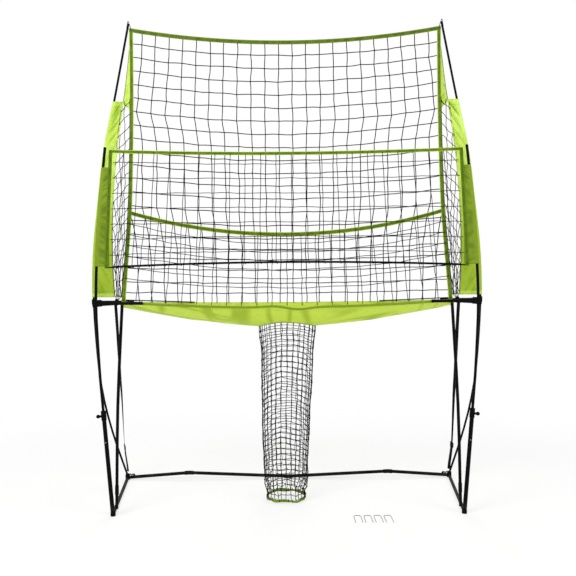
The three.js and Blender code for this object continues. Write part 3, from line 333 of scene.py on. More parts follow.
class Skin:  # gathers lofted strips and tubes into one mesh
    def __init__(self):
        self.points, self.faces, self.metres, self.shares = [], [], [], []
        self.folds = []  # how deep in a crease each point lies, for cloth, whose look paints it darker there as painted shade

    def loft(self, rings, isClosed=True, hasCaps=True):
        count, start = len(rings[0]), len(self.points)
        for ring in rings:
            self.points.extend(ring)
        alongs, arounds = [0.0], [0.0]
        for first, last in zip(rings, rings[1:]):
            alongs.append(alongs[-1] + (last[0] - first[0]).length)
        for k in range(count):
            arounds.append(arounds[-1] + (rings[0][(k + 1) % count] - rings[0][k]).length)
        total = alongs[-1] or 1.0

        def face(corners):  # of ring, point and place round it
            self.faces.append([start + a * count + b for a, b, c in corners])
            self.metres.extend((alongs[a], arounds[c]) for a, b, c in corners)
            self.shares.extend((alongs[a] / total, c / count) for a, b, c in corners)

        for i in range(len(rings) - 1):
            for k in range(count if isClosed else count - 1):
                nextK = (k + 1) % count
                face([(i, k, k), (i, nextK, k + 1), (i + 1, nextK, k + 1), (i + 1, k, k)])
        if hasCaps and isClosed:
            face([(0, k, k) for k in reversed(range(count))])
            face([(len(rings) - 1, k, k) for k in range(count)])

    def tube(self, path, radius, corners=6, isRing=False):
        rings, normal, last = [], None, len(path) - 1
        for i, place in enumerate(path):
            if isRing:
                run = (path[(i + 1) % len(path)] - path[i - 1]).normalized()
            else:
                run = (path[min(i + 1, last)] - path[max(i - 1, 0)]).normalized()
            normal = normal or run.orthogonal().normalized()
            normal = (normal - run * normal.dot(run)).normalized()
            rings.append(around(place, normal * radius, run.cross(normal) * radius, corners))
        if isRing:
            rings.append([p.copy() for p in rings[0]])
        self.loft(rings, hasCaps=not isRing)

    def turned(self, place, axis, radius, profile, corners):  # profile: heights and widths as shares of radius
        axis = axis.normalized()
        side = axis.orthogonal().normalized()
        other = axis.cross(side)
        self.loft([around(place + axis * height, side * width, other * width, corners)
                   for height, width in ((h * radius, w * radius) for h, w in profile)])

    def lash(self, centre, along, first, other, count, cord):  # one turn of twine
        turn = around(centre, first, other, count)
        self.tube([p + along * (0.0008 * k) for k, p in enumerate(turn + turn[:1])], cord, 5)

    def band(self, path, width, thickness, across, through):
        # across and through are directions, or functions of the share along the path
        rings, last = [], len(path) - 1
        for i, place in enumerate(path):
            w = (across(i / last) if callable(across) else across).normalized() * (width / 2)
            t = (through(i / last) if callable(through) else through).normalized() * (thickness / 2)
            rings.append([place + w * a + t * b for a, b in webOutline])
        self.loft(rings)

    def build(self, name, slotName, replaced=(), lookName=None, body="root"):
        mesh = bpy.data.meshes.new(name)
        mesh.from_pydata([tuple(p) for p in self.points], [], self.faces)
        layers = {"metres": self.metres, "shares": self.shares}
        if self.folds:
            layers["folds"] = [(self.folds[i], 0) for face in self.faces for i in face]
        for layerName, places in layers.items():
            flat = [value for place in places for value in place]
            mesh.uv_layers.new(name=layerName).data.foreach_set("uv", flat)
        mesh.polygons.foreach_set("use_smooth", [True] * len(mesh.polygons))
        mesh.materials.append(looks[lookName or slotName])
        mesh.update()
        piece = addObject(name, mesh)
        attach(piece, body)
        if replaced:
            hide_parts(*replaced)
        return piece


def thicken(piece, thickness):
    wall = piece.modifiers.new("wall", "SOLIDIFY")
    wall.thickness, wall.offset = thickness, 0


def areaOf(piece):
    return sum(face.area for face in piece.data.polygons)


# Places read from the frame
sliceCache = {}


def crossings(nodeName, axisName, place):  # where a node's edges pass through a plane
    axis = "xyz".index(axisName)
    low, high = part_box(nodeName)
    place = clamp(place + 0.000007, low[axis] + 0.0002, high[axis] - 0.0002)
    key = (nodeName, axis, round(place, 5))
    if key not in sliceCache:
        mesh = nodes[nodeName].data
        found = sliceCache[key] = []
        for edge in mesh.edges:
            first, last = (mesh.vertices[i].co for i in edge.vertices)
            if (first[axis] - place) * (last[axis] - place) < 0:
                found.append(first.lerp(last, (place - first[axis]) / (last[axis] - first[axis])))
    return sliceCache[key]


def spanAt(nodeName, axisName, place):
    found = crossings(nodeName, axisName, place)
    return tuple(Vector([pick(p[i] for p in found) for i in range(3)]) for pick in (min, max))


def middleAt(nodeName, axisName, place):
    low, high = spanAt(nodeName, axisName, place)
    return (low + high) / 2


def middleLine(nodeName, axisName, start, end, steps):
    return [middleAt(nodeName, axisName, place) for place in evenly(start, end, steps)]


def innermost(points):
    return min(points, key=lambda p: abs(p.x))


class Drape:  # the surface of a net, read from its node's edge and middle at each height
    def __init__(self, nodeName, step=0.02, margin=0.004):
        low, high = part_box(nodeName)
        self.rows = []
        count = int((high.z - low.z - 2 * margin) / step)
        for height in evenly(low.z + margin, high.z - margin, count):
            found = crossings(nodeName, "z", height)
            outer, inner = max(found, key=lambda p: p.x), innermost(found)
            roundness = max(1 - (inner.x / outer.x) ** 2, 0.05)
            self.rows.append((height, outer.x, outer.y, outer.y + (inner.y - outer.y) / roundness))

    def at(self, height):
        rows = self.rows
        if height <= rows[0][0]:
            return rows[0][1:]
        for first, last in zip(rows, rows[1:]):
            if height <= last[0]:
                share = (height - first[0]) / (last[0] - first[0])
                return tuple(mix(a, b, share) for a, b in zip(first[1:], last[1:]))
        return rows[-1][1:]

    def place(self, x, height):
        edgeX, edgeY, middleY = self.at(height)
        return Vector((x, mix(edgeY, middleY, 1 - clamp(abs(x / edgeX)) ** 2), height))

    def row(self, inner, height, edgeHeight=None):  # a net's row with its two ends
        edge = self.at(height)[0]
        ends = [self.place(s * edge, edgeHeight or height) for s in (-1, 1)]
        return ends[:1] + inner + ends[1:]


# Nets
twine = {
    "radius": 0.0029, "back": 0.0035, "front": 0.0024, "pocket": 0.0025, "side": 0.0024, "knot": 1.55,
    "pitch": 0.1012, "slack": 0.0026, "loose": 0.0042, "seed": 41, "seat": 0.004,
    "knotShape": ((-1.0, 0.35), (-0.45, 0.95), (0.45, 0.95), (1.0, 0.35)),
}
luck = random.Random(twine["seed"])
tapeSeat = up * twine["seat"]  # how far a cord's end runs into what holds it


def nudge(amount):
    return Vector([luck.uniform(-amount, amount) for _ in range(3)])


def strandNet(skin, cords, rows, radius, slack=twine["slack"]):
    # cords and rows are lists of point lists; crossings are the rows' inner points
    for path in cords + rows:
        eased = []
        for first, last in zip(path, path[1:]):
            eased.extend((first, (first + last) / 2 + nudge(slack)))
        skin.tube(eased + path[-1:], radius, 5)
    for path in rows:
        for first, place in zip(path, path[1:-1]):
            skin.turned(place, place - first, radius * twine["knot"], twine["knotShape"], 6)


backCords = {
    "count": 22, "mouthHeight": 2.05, "firstRow": 0.035, "rowPitch": 0.1018, "lowestRow": 0.046,
    "rearHang": 0.012, "mouthRoom": 0.03, "behindTape": 0.002, "footDrop": 0.006, "borderSize": 1.4,
    # How far the cords stand from the middle, as a share of their places at the top, at each height.
    "spreadShares": [(1.42, 0.977), (1.86, 0.9455), (2.02, 0.955), (2.12, 0.975), (2.585, 0.981),
                     (2.69, 0.996), (2.78, 1.029), (2.9, 1.017), (3.3, 0.993), (3.4, 0.989)],
}


def makeBackNet():
    drape, mouth = Drape("back_net"), backCords["mouthHeight"]
    heights = [row[0] for row in reversed(drape.rows)]
    low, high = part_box("back_net")
    topHang = high.z - spanAt("back_net", "x", 0.0)[1].z
    rowHeights, run = [], backCords["firstRow"]
    for first, last in zip(heights, heights[1:]):
        a, b = (Vector((*drape.at(h)[:2], h)) for h in (first, last))
        run += (b - a).length
        if run >= backCords["rowPitch"] and last > low.z + backCords["lowestRow"]:
            run -= backCords["rowPitch"]
            rowHeights.append(last)

    def cordX(c, height):
        return c * twine["pitch"] * keyed(backCords["spreadShares"], height)

    def crossing(c, height):
        x = cordX(c, height)
        hang = mix(backCords["rearHang"], topHang, (height - low.z) / (high.z - low.z))
        dip = hang * (1 - (x / drape.at(height)[0]) ** 2)
        return drape.place(x, max(height - dip, low.z + twine["seat"])) + nudge(twine["loose"])

    outer = backCords["count"] / 2 + 0.5  # the columns beside the lower border
    columns = [k - outer + 1 for k in range(backCords["count"])]
    allColumns = [-outer] + columns + [outer]
    grid = {(c, h): crossing(c, h) for c in allColumns for h in rowHeights
            if abs(c) < outer or h < mouth - backCords["mouthRoom"]}
    cords = []
    for c in columns + [-outer, outer]:
        path = [grid[c, h] for h in rowHeights if (c, h) in grid]
        if abs(c) < outer:
            x = cordX(c, high.z)
            tapeLow, tapeHigh = spanAt("back_top_tape", "x", x)
            y = (tapeLow.y + tapeHigh.y) / 2 + backCords["behindTape"]
            path.insert(0, Vector((x, y, tapeLow.z)) + tapeSeat)
        else:
            path.insert(0, drape.place(copysign(drape.at(mouth)[0], c) * 0.995, mouth - 0.01))
        path.append(drape.place(path[-1].x, low.z + twine["seat"]) - up * backCords["footDrop"])
        cords.append(path)
    rows = [drape.row([grid[c, h] for c in allColumns if (c, h) in grid], h) for h in rowHeights]
    skin = Skin()
    strandNet(skin, cords, rows, twine["back"])
    for s in (-1, 1):  # the border cord of the lower part, from the pocket's mouth to the pan
        border = [drape.place(s * drape.at(h)[0], h) for h in heights if h < mouth]
        skin.tube(border, twine["radius"] * backCords["borderSize"], 6)
    skin.build("back_net_twine", "net_twine", ["back_net"])
    print("back net rows:", len(rowHeights))


pocketCords = {"half": 10, "topHang": 0.165, "lowHang": 0.042, "topWidth": 0.988, "firstRow": 0.82,
               "lastRow": 0.7, "footLift": 0.01}


def makePocketNet():
    drape = Drape("pocket_net")
    low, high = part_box("pocket_net")
    rowCount = int(hypot(high.z - low.z, high.y - low.y) / twine["pitch"])
    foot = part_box("left_edge_tape")[0].z + pocketCords["footLift"]

    def crossing(k, share):
        height = mix(high.z, foot, share)
        x = k * twine["pitch"] * mix(pocketCords["topWidth"], 1.0, share)
        roundness = 1 - (x / drape.at(height)[0]) ** 2
        return drape.place(x, height - mix(pocketCords["topHang"], pocketCords["lowHang"], share) * roundness)

    ks = range(-pocketCords["half"], pocketCords["half"] + 1)
    shares = [(r + pocketCords["firstRow"]) / (rowCount + pocketCords["lastRow"]) for r in range(rowCount)]
    grid = {(k, v): crossing(k, v) + nudge(twine["loose"]) for k in ks for v in shares}
    cords = []
    for k in ks:
        x = k * twine["pitch"] * pocketCords["topWidth"]
        tapeLow, tapeHigh = spanAt("pocket_tape", "x", x)
        start = Vector((x, (tapeLow.y + tapeHigh.y) / 2, tapeLow.z)) + tapeSeat
        cords.append([start] + [grid[k, v] for v in shares] + [crossing(k, 1.0) - tapeSeat])
    rows = [drape.row([grid[k, v] for k in ks], mix(high.z, low.z, v), mix(high.z, foot, v))
            for v in shares[:-1]]  # below these the cords run down into the pan
    skin = Skin()
    strandNet(skin, cords, rows, twine["pocket"])
    skin.build("pocket_net_twine", "net_twine", ["pocket_net"])


frontCords = {"first": -10.66, "count": 22, "widen": 1.052, "rows": 7, "rodReach": 0.0047,
              "endShare": 0.9938, "borderHalf": 1.157, "rodHalf": 1.17, "tapeHalf": 1.1,
              "firstRow": 0.62, "lastRow": 0.42, "calm": 0.7, "tapeEnd": 1.09}


def makeFrontNet():
    low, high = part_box("front_net")
    rodLow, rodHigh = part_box("spreader_rod")
    y, rodHalf = (low.y + high.y) / 2, frontCords["rodHalf"]

    def crossing(c, share):
        x = c * twine["pitch"] * mix(1.0, frontCords["widen"], share)
        top = spanAt("front_tape", "x", x)[0].z if abs(x) < frontCords["tapeHalf"] else high.z
        rod = middleAt("spreader_rod", "x", clamp(x, -rodHalf, rodHalf)).z
        return Vector((x, y, mix(top, rod, share)))

    cs = [frontCords["first"] + k for k in range(frontCords["count"])]
    rowCount = frontCords["rows"]
    shares = [(r + frontCords["firstRow"]) / (rowCount + frontCords["lastRow"]) for r in range(rowCount)]
    grid = {(c, v): crossing(c, v) + nudge(twine["loose"] * frontCords["calm"]) for c in cs for v in shares}
    cords = [[crossing(c, 0) + tapeSeat] + [grid[c, v] for v in shares] + [crossing(c, 1)] for c in cs]
    rows = []
    top = spanAt("front_tape", "x", frontCords["tapeEnd"])[0].z
    foot = middleAt("spreader_rod", "x", rodHalf).z
    for v in shares:
        span = spanAt("front_net", "z", mix(high.z, low.z + 0.01, v))
        ends = [Vector((p.x * frontCords["endShare"], y, mix(top, foot, v))) for p in span]
        rows.append(ends[:1] + [grid[c, v] for c in cs] + ends[1:])
    skin = Skin()
    strandNet(skin, cords, rows, twine["front"])
    # the net's border cord is lashed along the top of the rod, and each cord is tied round it
    border = middleLine("spreader_rod", "x", -frontCords["borderHalf"], frontCords["borderHalf"], 60)
    lift = up * (frontCords["rodReach"] + twine["radius"] * 0.8)
    skin.tube([place + lift for place in border], twine["radius"] * 0.9, 6)
    reach = (rodHigh.y - rodLow.y) / 2 + twine["radius"]
    for c in cs:
        rod = middleAt("spreader_rod", "x", clamp(crossing(c, 1).x, -rodHalf, rodHalf))
        skin.lash(rod, right, forward * reach, up * reach, 10, twine["radius"])
    skin.build("front_net_twine", "net_twine", ["front_net"], body="front_net")


sideCords = {"pitch": 0.082, "lean": 0.3, "loose": 0.007, "slack": 0.007, "below": 0.22, "firstRow": 0.07,
             "rowPitch": 0.96, "count": 7, "ties": (0.075, 0.35, 0.65, 0.925), "tieBow": 0.002,
             "rowRoom": 0.03, "knotRoom": 0.025, "lastShare": 0.93, "rowEnd": 0.12, "topReach": 0.06,
             "lift": 0.002}


def makeSideNet(side, s):
    name, cord = f"{side}_side_net", twine["side"]
    low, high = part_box(name)

    def ends(height):
        found = crossings(name, "z", clamp(height, low.z + twine["seat"], high.z - twine["seat"]))
        return max(found, key=lambda p: abs(p.x)), innermost(found)

    def crossing(k, height):  # the kth place from the edge tape, on a row that climbs towards the tape
        outer, inner = ends(height)
        span = (outer - inner).length
        share = k * sideCords["pitch"] / span
        outer, inner = ends(height + sideCords["lean"] * span * (1 - share))
        return inner.lerp(outer, share), share

    def footPlace(share):  # a place on the net's lower edge
        outer, inner = ends(low.z)
        return inner.lerp(outer, clamp(share))

    rowHeights, height = [], high.z - sideCords["firstRow"]
    while height > low.z - sideCords["below"]:
        rowHeights.append(height)
        height -= twine["pitch"] * sideCords["rowPitch"]
    grid, rows, cords = {}, [], []
    ks = range(1, sideCords["count"] + 1)
    for height in rowHeights:
        start, lastShare = crossing(0, height)
        if start.z < low.z + sideCords["rowRoom"]:
            continue
        row = [start]
        for k in ks:
            place, share = crossing(k, height)
            if share < sideCords["lastShare"] and place.z > low.z + sideCords["knotRoom"]:
                grid[k, height] = place + nudge(sideCords["loose"])
                row.append(grid[k, height])
                lastShare = share
        isAboveFoot = height > low.z + 0.01
        rows.append(row + [ends(height)[0] if isAboveFoot else footPlace(lastShare + sideCords["rowEnd"])])
    for k in ks:
        path = [grid[k, h] for h in rowHeights if (k, h) in grid]
        if len(path) > 1:
            if k == 1:
                path.insert(0, crossing(k, rowHeights[0] + sideCords["topReach"])[0])
            path.append(footPlace(k * sideCords["pitch"] / (footPlace(1) - footPlace(0)).length))
            cords.append(path)
    skin = Skin()
    strandNet(skin, cords, rows, cord, sideCords["slack"])
    for end in (0, 1):  # border cords along the sleeve and the tape
        heights = evenly(high.z - twine["seat"], low.z + twine["seat"], 30)
        skin.tube([ends(h)[end] for h in heights], cord, 5)
    lift = up * sideCords["lift"]
    skin.tube([footPlace(share) + lift for share in evenly(0, 1, 8)], cord, 5)
    for share in sideCords["ties"]:  # short ties hold the lower edge to the side rail
        foot = footPlace(share) + lift
        railLow, railHigh = spanAt(f"{side}_side_rail", "y", foot.y)
        rail, reach = (railLow + railHigh) / 2, (railHigh.z - railLow.z) / 2 + cord
        bow = right * (s * sideCords["tieBow"])
        skin.tube([foot, mix(foot, rail + up * reach, 0.5) + bow, rail + up * reach], cord, 5)
        skin.lash(rail, forward, up * reach, right * reach, 12, cord)
    skin.build(f"{side}_side_net_twine", "net_twine", [name])


# Pan and chute
panCloth = {
    "frontHem": 1.4265, "rearHem": 1.416, "frontSag": 0.042, "rearSag": 0.012,
    "depthEnd": 0.036, "depthMiddle": 0.168, "lowHalf": 1.107, "rearHalf": 1.252,
    "holeRadius": 0.205, "holeY": -0.018, "blockHalf": 0.37, "thickness": 0.0014,
    "waveHeight": 0.015, "fold": 0.0035, "rows": 34, "endSteps": 44, "rings": 14,
}
panLow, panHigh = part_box("pan")
panFront, panRear = panLow.y + 0.0015, panHigh.y - 0.0015


def panShare(y):  # 0 at the front hem, 1 at the rear hem
    return (y - panFront) / (panRear - panFront)


def panHalf(v):
    return mix(panCloth["lowHalf"], panCloth["rearHalf"], v)


def panCrease(x, y):  # pulls run from the corners and the front hem towards the hole
    v = clamp(panShare(y))
    pull = creaseAt(x * 1.6, v * 5.5 + abs(x) * 2.1, 5.3) * clamp((abs(x) - panCloth["holeRadius"]) / 0.25)
    hang = creaseAt(x * 8.5, v * 1.4, 8.4) * clamp(1.15 - v * 1.5)
    return clamp(max(pull * 0.8, hang * 0.75))


def panPlace(x, y):
    v = clamp(panShare(y))
    side = clamp(abs(x) / panHalf(v))
    roundness = 1 - side * side
    wave = -sin((x + 0.02) * 13) * exp(-((x - 0.02) / 0.17) ** 2)  # the front hem's lift and dip
    front = panCloth["frontHem"] - panCloth["frontSag"] * roundness
    front += panCloth["waveHeight"] * wave * (1 - v) ** 6
    rear = panCloth["rearHem"] - panCloth["rearSag"] * roundness
    depth = mix(panCloth["depthEnd"], panCloth["depthMiddle"], (1 - side) * (1 + side / 2))
    dip = sin(pi * v) ** 0.75 if 0 < v < 1 else 0.0
    fold = noise.noise(Vector((x * 2.2, v * 15 + abs(x) * 1.2, 3.1))) - panCrease(x, y) * 1.3
    fold *= panCloth["fold"] * clamp(8 * v * (1 - v))
    return Vector((x, y, mix(front, rear, v) + (fold - depth) * dip))


def holeRim(angle, size=1.0):
    reach = panCloth["holeRadius"] * size
    return panPlace(reach * cos(angle), panCloth["holeY"] + reach * sin(angle))


def makePan(trims):
    block, rows = panCloth["blockHalf"], panCloth["rows"]
    skin = Skin()
    for s in (-1, 1):  # the cloth to each side of the block round the hole
        rings = []
        for share in evenly(0, 1, panCloth["endSteps"]):
            ys = evenly(panFront, panRear, rows)
            xs = [s * mix(block, panHalf(panShare(y)), share) for y in ys]
            rings.append([panPlace(x, y) for x, y in zip(xs, ys)][::s])
        skin.loft(rings, isClosed=False)
    corners = [Vector(p) for p in ((block, panFront), (block, panRear), (-block, panRear), (-block, panFront))]
    lines = []
    for first, last in zip(corners, corners[1:] + corners[:1]):
        for i in range(rows):
            edge = first.lerp(last, i / rows)
            lines.append((edge, holeRim(atan2(edge.y - panCloth["holeY"], edge.x)).xy))
    shares = evenly(0, 1, panCloth["rings"])
    skin.loft([[panPlace(*edge.lerp(rim, v)) for edge, rim in lines] for v in shares], hasCaps=False)
    skin.metres = [(skin.points[i].x, skin.points[i].y) for face in skin.faces for i in face]
    skin.shares = [(panShare(y), x) for x, y in skin.metres]
    skin.folds = [panCrease(p.x, p.y) for p in skin.points]
    pan = skin.build("pan_cloth", "lime_cloth", ["pan"], "pan_cloth")
    shell = bmesh.new()  # joins the strips and turns all faces one way
    shell.from_mesh(pan.data)
    bmesh.ops.remove_doubles(shell, verts=shell.verts, dist=0.0004)
    bmesh.ops.recalc_face_normals(shell, faces=shell.faces)
    shell.to_mesh(pan.data)
    shell.free()
    thicken(pan, panCloth["thickness"])
    area = areaOf(pan)
    flat = (2 * panHalf(1), area / (panHalf(0) + panHalf(1)) * 1.06)
    print("pan cut to", [round(v, 3) for v in flat], "area", round(area, 3))


panHems = {
    "thickness": 0.0022, "inset": 0.002, "rimCord": 0.0032, "endCord": 0.0030,
    "cordInset": 0.003, "rimSize": 0.992,
    # the front hem is a real band; its darker cloth is painted shadow along the hem's fold
    "pan_front_hem": (0, 0.016, Vector((0, -0.0025, -0.004)), "dark_lime_cloth", None),
    "pan_rear_hem": (1, 0.014, Vector((0, 0, -0.006)), "lime_cloth", "pan_cloth"),
}


def makePanTrims():
    trims = []
    for name in ("pan_front_hem", "pan_rear_hem"):
        v, width, seat, slotName, lookName = panHems[name]
        half, y = panHalf(v) - panHems["inset"], mix(panFront, panRear, v)
        path = [panPlace(x, y) + seat for x in evenly(-half, half, 120)]
        skin = Skin()
        skin.band(path, width, panHems["thickness"], up, forward)
        trims.append(skin.build(name, slotName, lookName=lookName))
    rim, ends = Skin(), Skin()
    rim.tube([holeRim(tau * k / 96, panHems["rimSize"]) for k in range(96)], panHems["rimCord"], 8, isRing=True)
    for s in (-1, 1):
        path = [panPlace(s * (panHalf(v) - panHems["cordInset"]), mix(panFront, panRear, v))
                for v in evenly(0, 1, 40)]
        ends.tube(path, panHems["endCord"], 8)
    trims.append(rim.build("hole_rim", "dark_lime_cloth"))
    trims.append(ends.build("pan_end_piping", "dark_lime_cloth"))
    return trims


chuteNet = {
    "columns": 28, "rows": 33, "foot": 0.137, "radius": 0.0024, "knot": 0.0041, "lean": -0.017,
    "hemHeight": 0.019, "hemThick": 0.0026, "hemLift": 0.012, "hemSeat": 0.006, "sag": 0.0022,
    "wander": 0.22, "loose": 0.0025, "crumple": 0.007, "laceReach": 0.0042, "laceHeight": 0.0112,
    "widths": ((0, panCloth["holeRadius"] * 0.99), (0.16, 0.183), (0.55, 0.168), (0.85, 0.155), (1, 0.137)),
    "hemOutline": ((-1, 0), (-0.9, 1), (0, 1.6), (0.9, 1), (1, 0), (0.9, -1), (0, -1.6), (-0.9, -1)),
}


def hemPlace(angle, reach):  # at the middle of the hem's height
    lift = chuteNet["hemLift"] * max(sin(angle), 0) ** 2
    ripple = 0.004 * (1 + sin(3 * angle + 0.8)) + 0.0025 * (1 + sin(7 * angle))
    height = chuteNet["hemHeight"] / 2 + 0.003 + lift + ripple
    return Vector((chuteNet["lean"] + reach * cos(angle), panCloth["holeY"] + reach * sin(angle), height))


def makeChute():
    columns, rows, cord = chuteNet["columns"], chuteNet["rows"], chuteNet["radius"]
    rimMean = sum(holeRim(tau * k / columns).z for k in range(columns)) / columns

    def place(column, row):
        v = row / rows
        belly = sin(pi * v)
        wander = chuteNet["wander"] * noise.noise(Vector((column * 0.9, row * 0.35, 2)))
        angle = tau * (column + wander) / columns
        foot = hemPlace(angle, 0).z + chuteNet["hemHeight"] / 2 - chuteNet["hemSeat"]
        radius = keyed(chuteNet["widths"], v) * (1 + 0.012 * sin(2 * angle + 5 * v))
        crumple = chuteNet["crumple"] * ease((v - 0.72) / 0.25) * (1 - ease((v - 0.97) / 0.03))
        loose = chuteNet["loose"] + crumple if row else 0.0
        arch = (holeRim(angle).z - rimMean) * (1 - v ** 3) * (1 + 0.7 * belly)
        height = mix(rimMean, foot, v + 0.02 * belly) + arch + 0.006 * sin(5 * angle + row * 0.5) * belly
        x = chuteNet["lean"] * ease(v * 1.4) + radius * cos(angle)
        return Vector((x, panCloth["holeY"] + radius * sin(angle), height)) + nudge(loose)

    grid = {(c, r): place(c, r) for c in range(columns) for r in range(rows + 1)}
    skin, hem, laces = Skin(), Skin(), Skin()
    for c in range(columns):
        skin.tube([grid[c, r] for r in range(rows + 1)], cord, 5)
    for r in range(1, rows):
        ring = []
        for c in range(columns):
            here, follow = grid[c, r], grid[(c + 1) % columns, r]
            ring += [here, (here + follow) / 2 - up * chuteNet["sag"]]
            skin.turned(here, here - grid[c, r - 1], chuteNet["knot"], twine["knotShape"], 6)
        skin.tube(ring, cord, 5, isRing=True)
    skin.build("chute_net_twine", "net_twine", ["chute_net"])
    rings, turns = [], 120
    for k in range(turns + 1):
        angle = tau * (k % turns) / turns
        out = Vector((cos(angle), sin(angle), 0))
        middle = hemPlace(angle, chuteNet["foot"] + 0.004 * sin(5 * angle) + 0.003 * sin(11 * angle))
        across = (up + out * (0.45 * sin(4 * angle) + 0.2 * sin(9 * angle))).normalized()
        high, thick = across * (chuteNet["hemHeight"] / 2), out * (chuteNet["hemThick"] / 2)
        rings.append([middle + high * a + thick * b for a, b in chuteNet["hemOutline"]])
    hem.loft(rings, hasCaps=False)
    hem.build("chute_hem", "lime_cloth", ["chute_ring"], "dark_lime_cloth")
    for k in range(columns):  # the twine that whips the net to its hem
        angle = tau * (k + 0.5) / columns
        out = Vector((cos(angle), sin(angle), 0))
        middle = hemPlace(angle, chuteNet["foot"]) + up * 0.003
        laces.lash(middle, Vector(), out * chuteNet["laceReach"], up * chuteNet["laceHeight"], 8, cord * 0.8)
    laces.build("chute_laces", "net_twine")


# Tapes
tapeWeb = {"width": 0.030, "thickness": 0.0022, "frontWidth": 0.024, "trim": 0.001, "sewnEnd": 0.010,
           "levelHalf": 1.1, "bandTop": 0.985, "bandSeat": 0.0006}


def makeTapes():
    for name, axisName in (("back_top", "x"), ("pocket", "x"), ("left_edge", "z"), ("right_edge", "z")):
        node, isUpright = f"{name}_tape", axisName == "z"
        low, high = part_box(node)
        if isUpright:
            path = middleLine(node, "z", high.z - tapeWeb["trim"], low.z + tapeWeb["trim"], 60)
            path.insert(0, path[0] + up * tapeWeb["sewnEnd"])  # sewn behind the top tape
        else:
            path = middleLine(node, "x", low.x + tapeWeb["trim"], high.x - tapeWeb["trim"], 72)
        skin = Skin()
        skin.band(path, tapeWeb["width"], tapeWeb["thickness"], right if isUpright else up, forward)
        lookName = "olive_tape" if name == "back_top" else "sheen_edged_tape"
        skin.build(f"{name}_binding", "olive_tape", [node], lookName)


def makeFrontTape():
    low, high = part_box("front_tape")
    width, thickness, levelHalf = tapeWeb["frontWidth"], tapeWeb["thickness"], tapeWeb["levelHalf"]
    y = low.y + thickness / 2

    def bandPlace(s, share):  # the middle of a side band, at a share of the tape's height
        ends = []
        for endShare in (0.05, 0.8):
            z = mix(low.z, high.z, endShare)
            xs = [p.x for p in crossings("front_tape", "z", z) if p.x * s > 0.8]
            ends.append(Vector(((min(xs) + max(xs)) / 2, y, z)))
        return ends[0].lerp(ends[1], (share - 0.05) / 0.75)

    half = bandPlace(1, 1).x + width / 2  # the tape stops at the side bands, short of the poles
    path = []
    for x in evenly(-half, half, 72):
        top = spanAt("front_tape", "x", clamp(x, -levelHalf, levelHalf))[1].z
        path.append(Vector((x, y, mix(top, high.z, clamp((abs(x) - levelHalf) / 0.12)) - width / 2)))
    tape, bands = Skin(), Skin()
    tape.band(path, width, thickness, up, forward)
    tape.build("front_binding", "olive_tape", ["front_tape"], "sheen_edged_tape", "front_net")
    for s in (-1, 1):
        shares = evenly(0, tapeWeb["bandTop"], 20)
        path = [bandPlace(s, share) - forward * tapeWeb["bandSeat"] for share in shares]
        bands.band(path, width, thickness, right, forward)
    bands.build("front_side_bands", "olive_tape", lookName="olive_band", body="front_net")


# Sleeves
sleeveCut = {
    "clearance": 0.0022, "thickness": 0.0009, "steps": 170, "flapSteps": 12, "foldDepth": 0.0055,
    "wrap": 118, "hem": 0.0021, "hemInset": 0.003, "lowFade": 0.18, "highFade": 0.34,
    "flapStart": 0.47, "flapGap": 0.0012, "flapRoot": 0.88,
    "rear": {"pole": "tall_pole", "radius": 0.0086, "body": "root", "slot": "lime_cloth",
             "tilt": 1.7, "forward": 0.009, "fold": 2.4, "calm": 0.25, "reachIn": 0.012},
    "front": {"pole": "front_pole", "radius": 0.0098, "body": "{side}_front_pole", "slot": "dark_lime_cloth",
              "tilt": 0.5, "forward": 0.0085, "fold": 0.35, "calm": 0.45, "reachIn": 0.0},
}


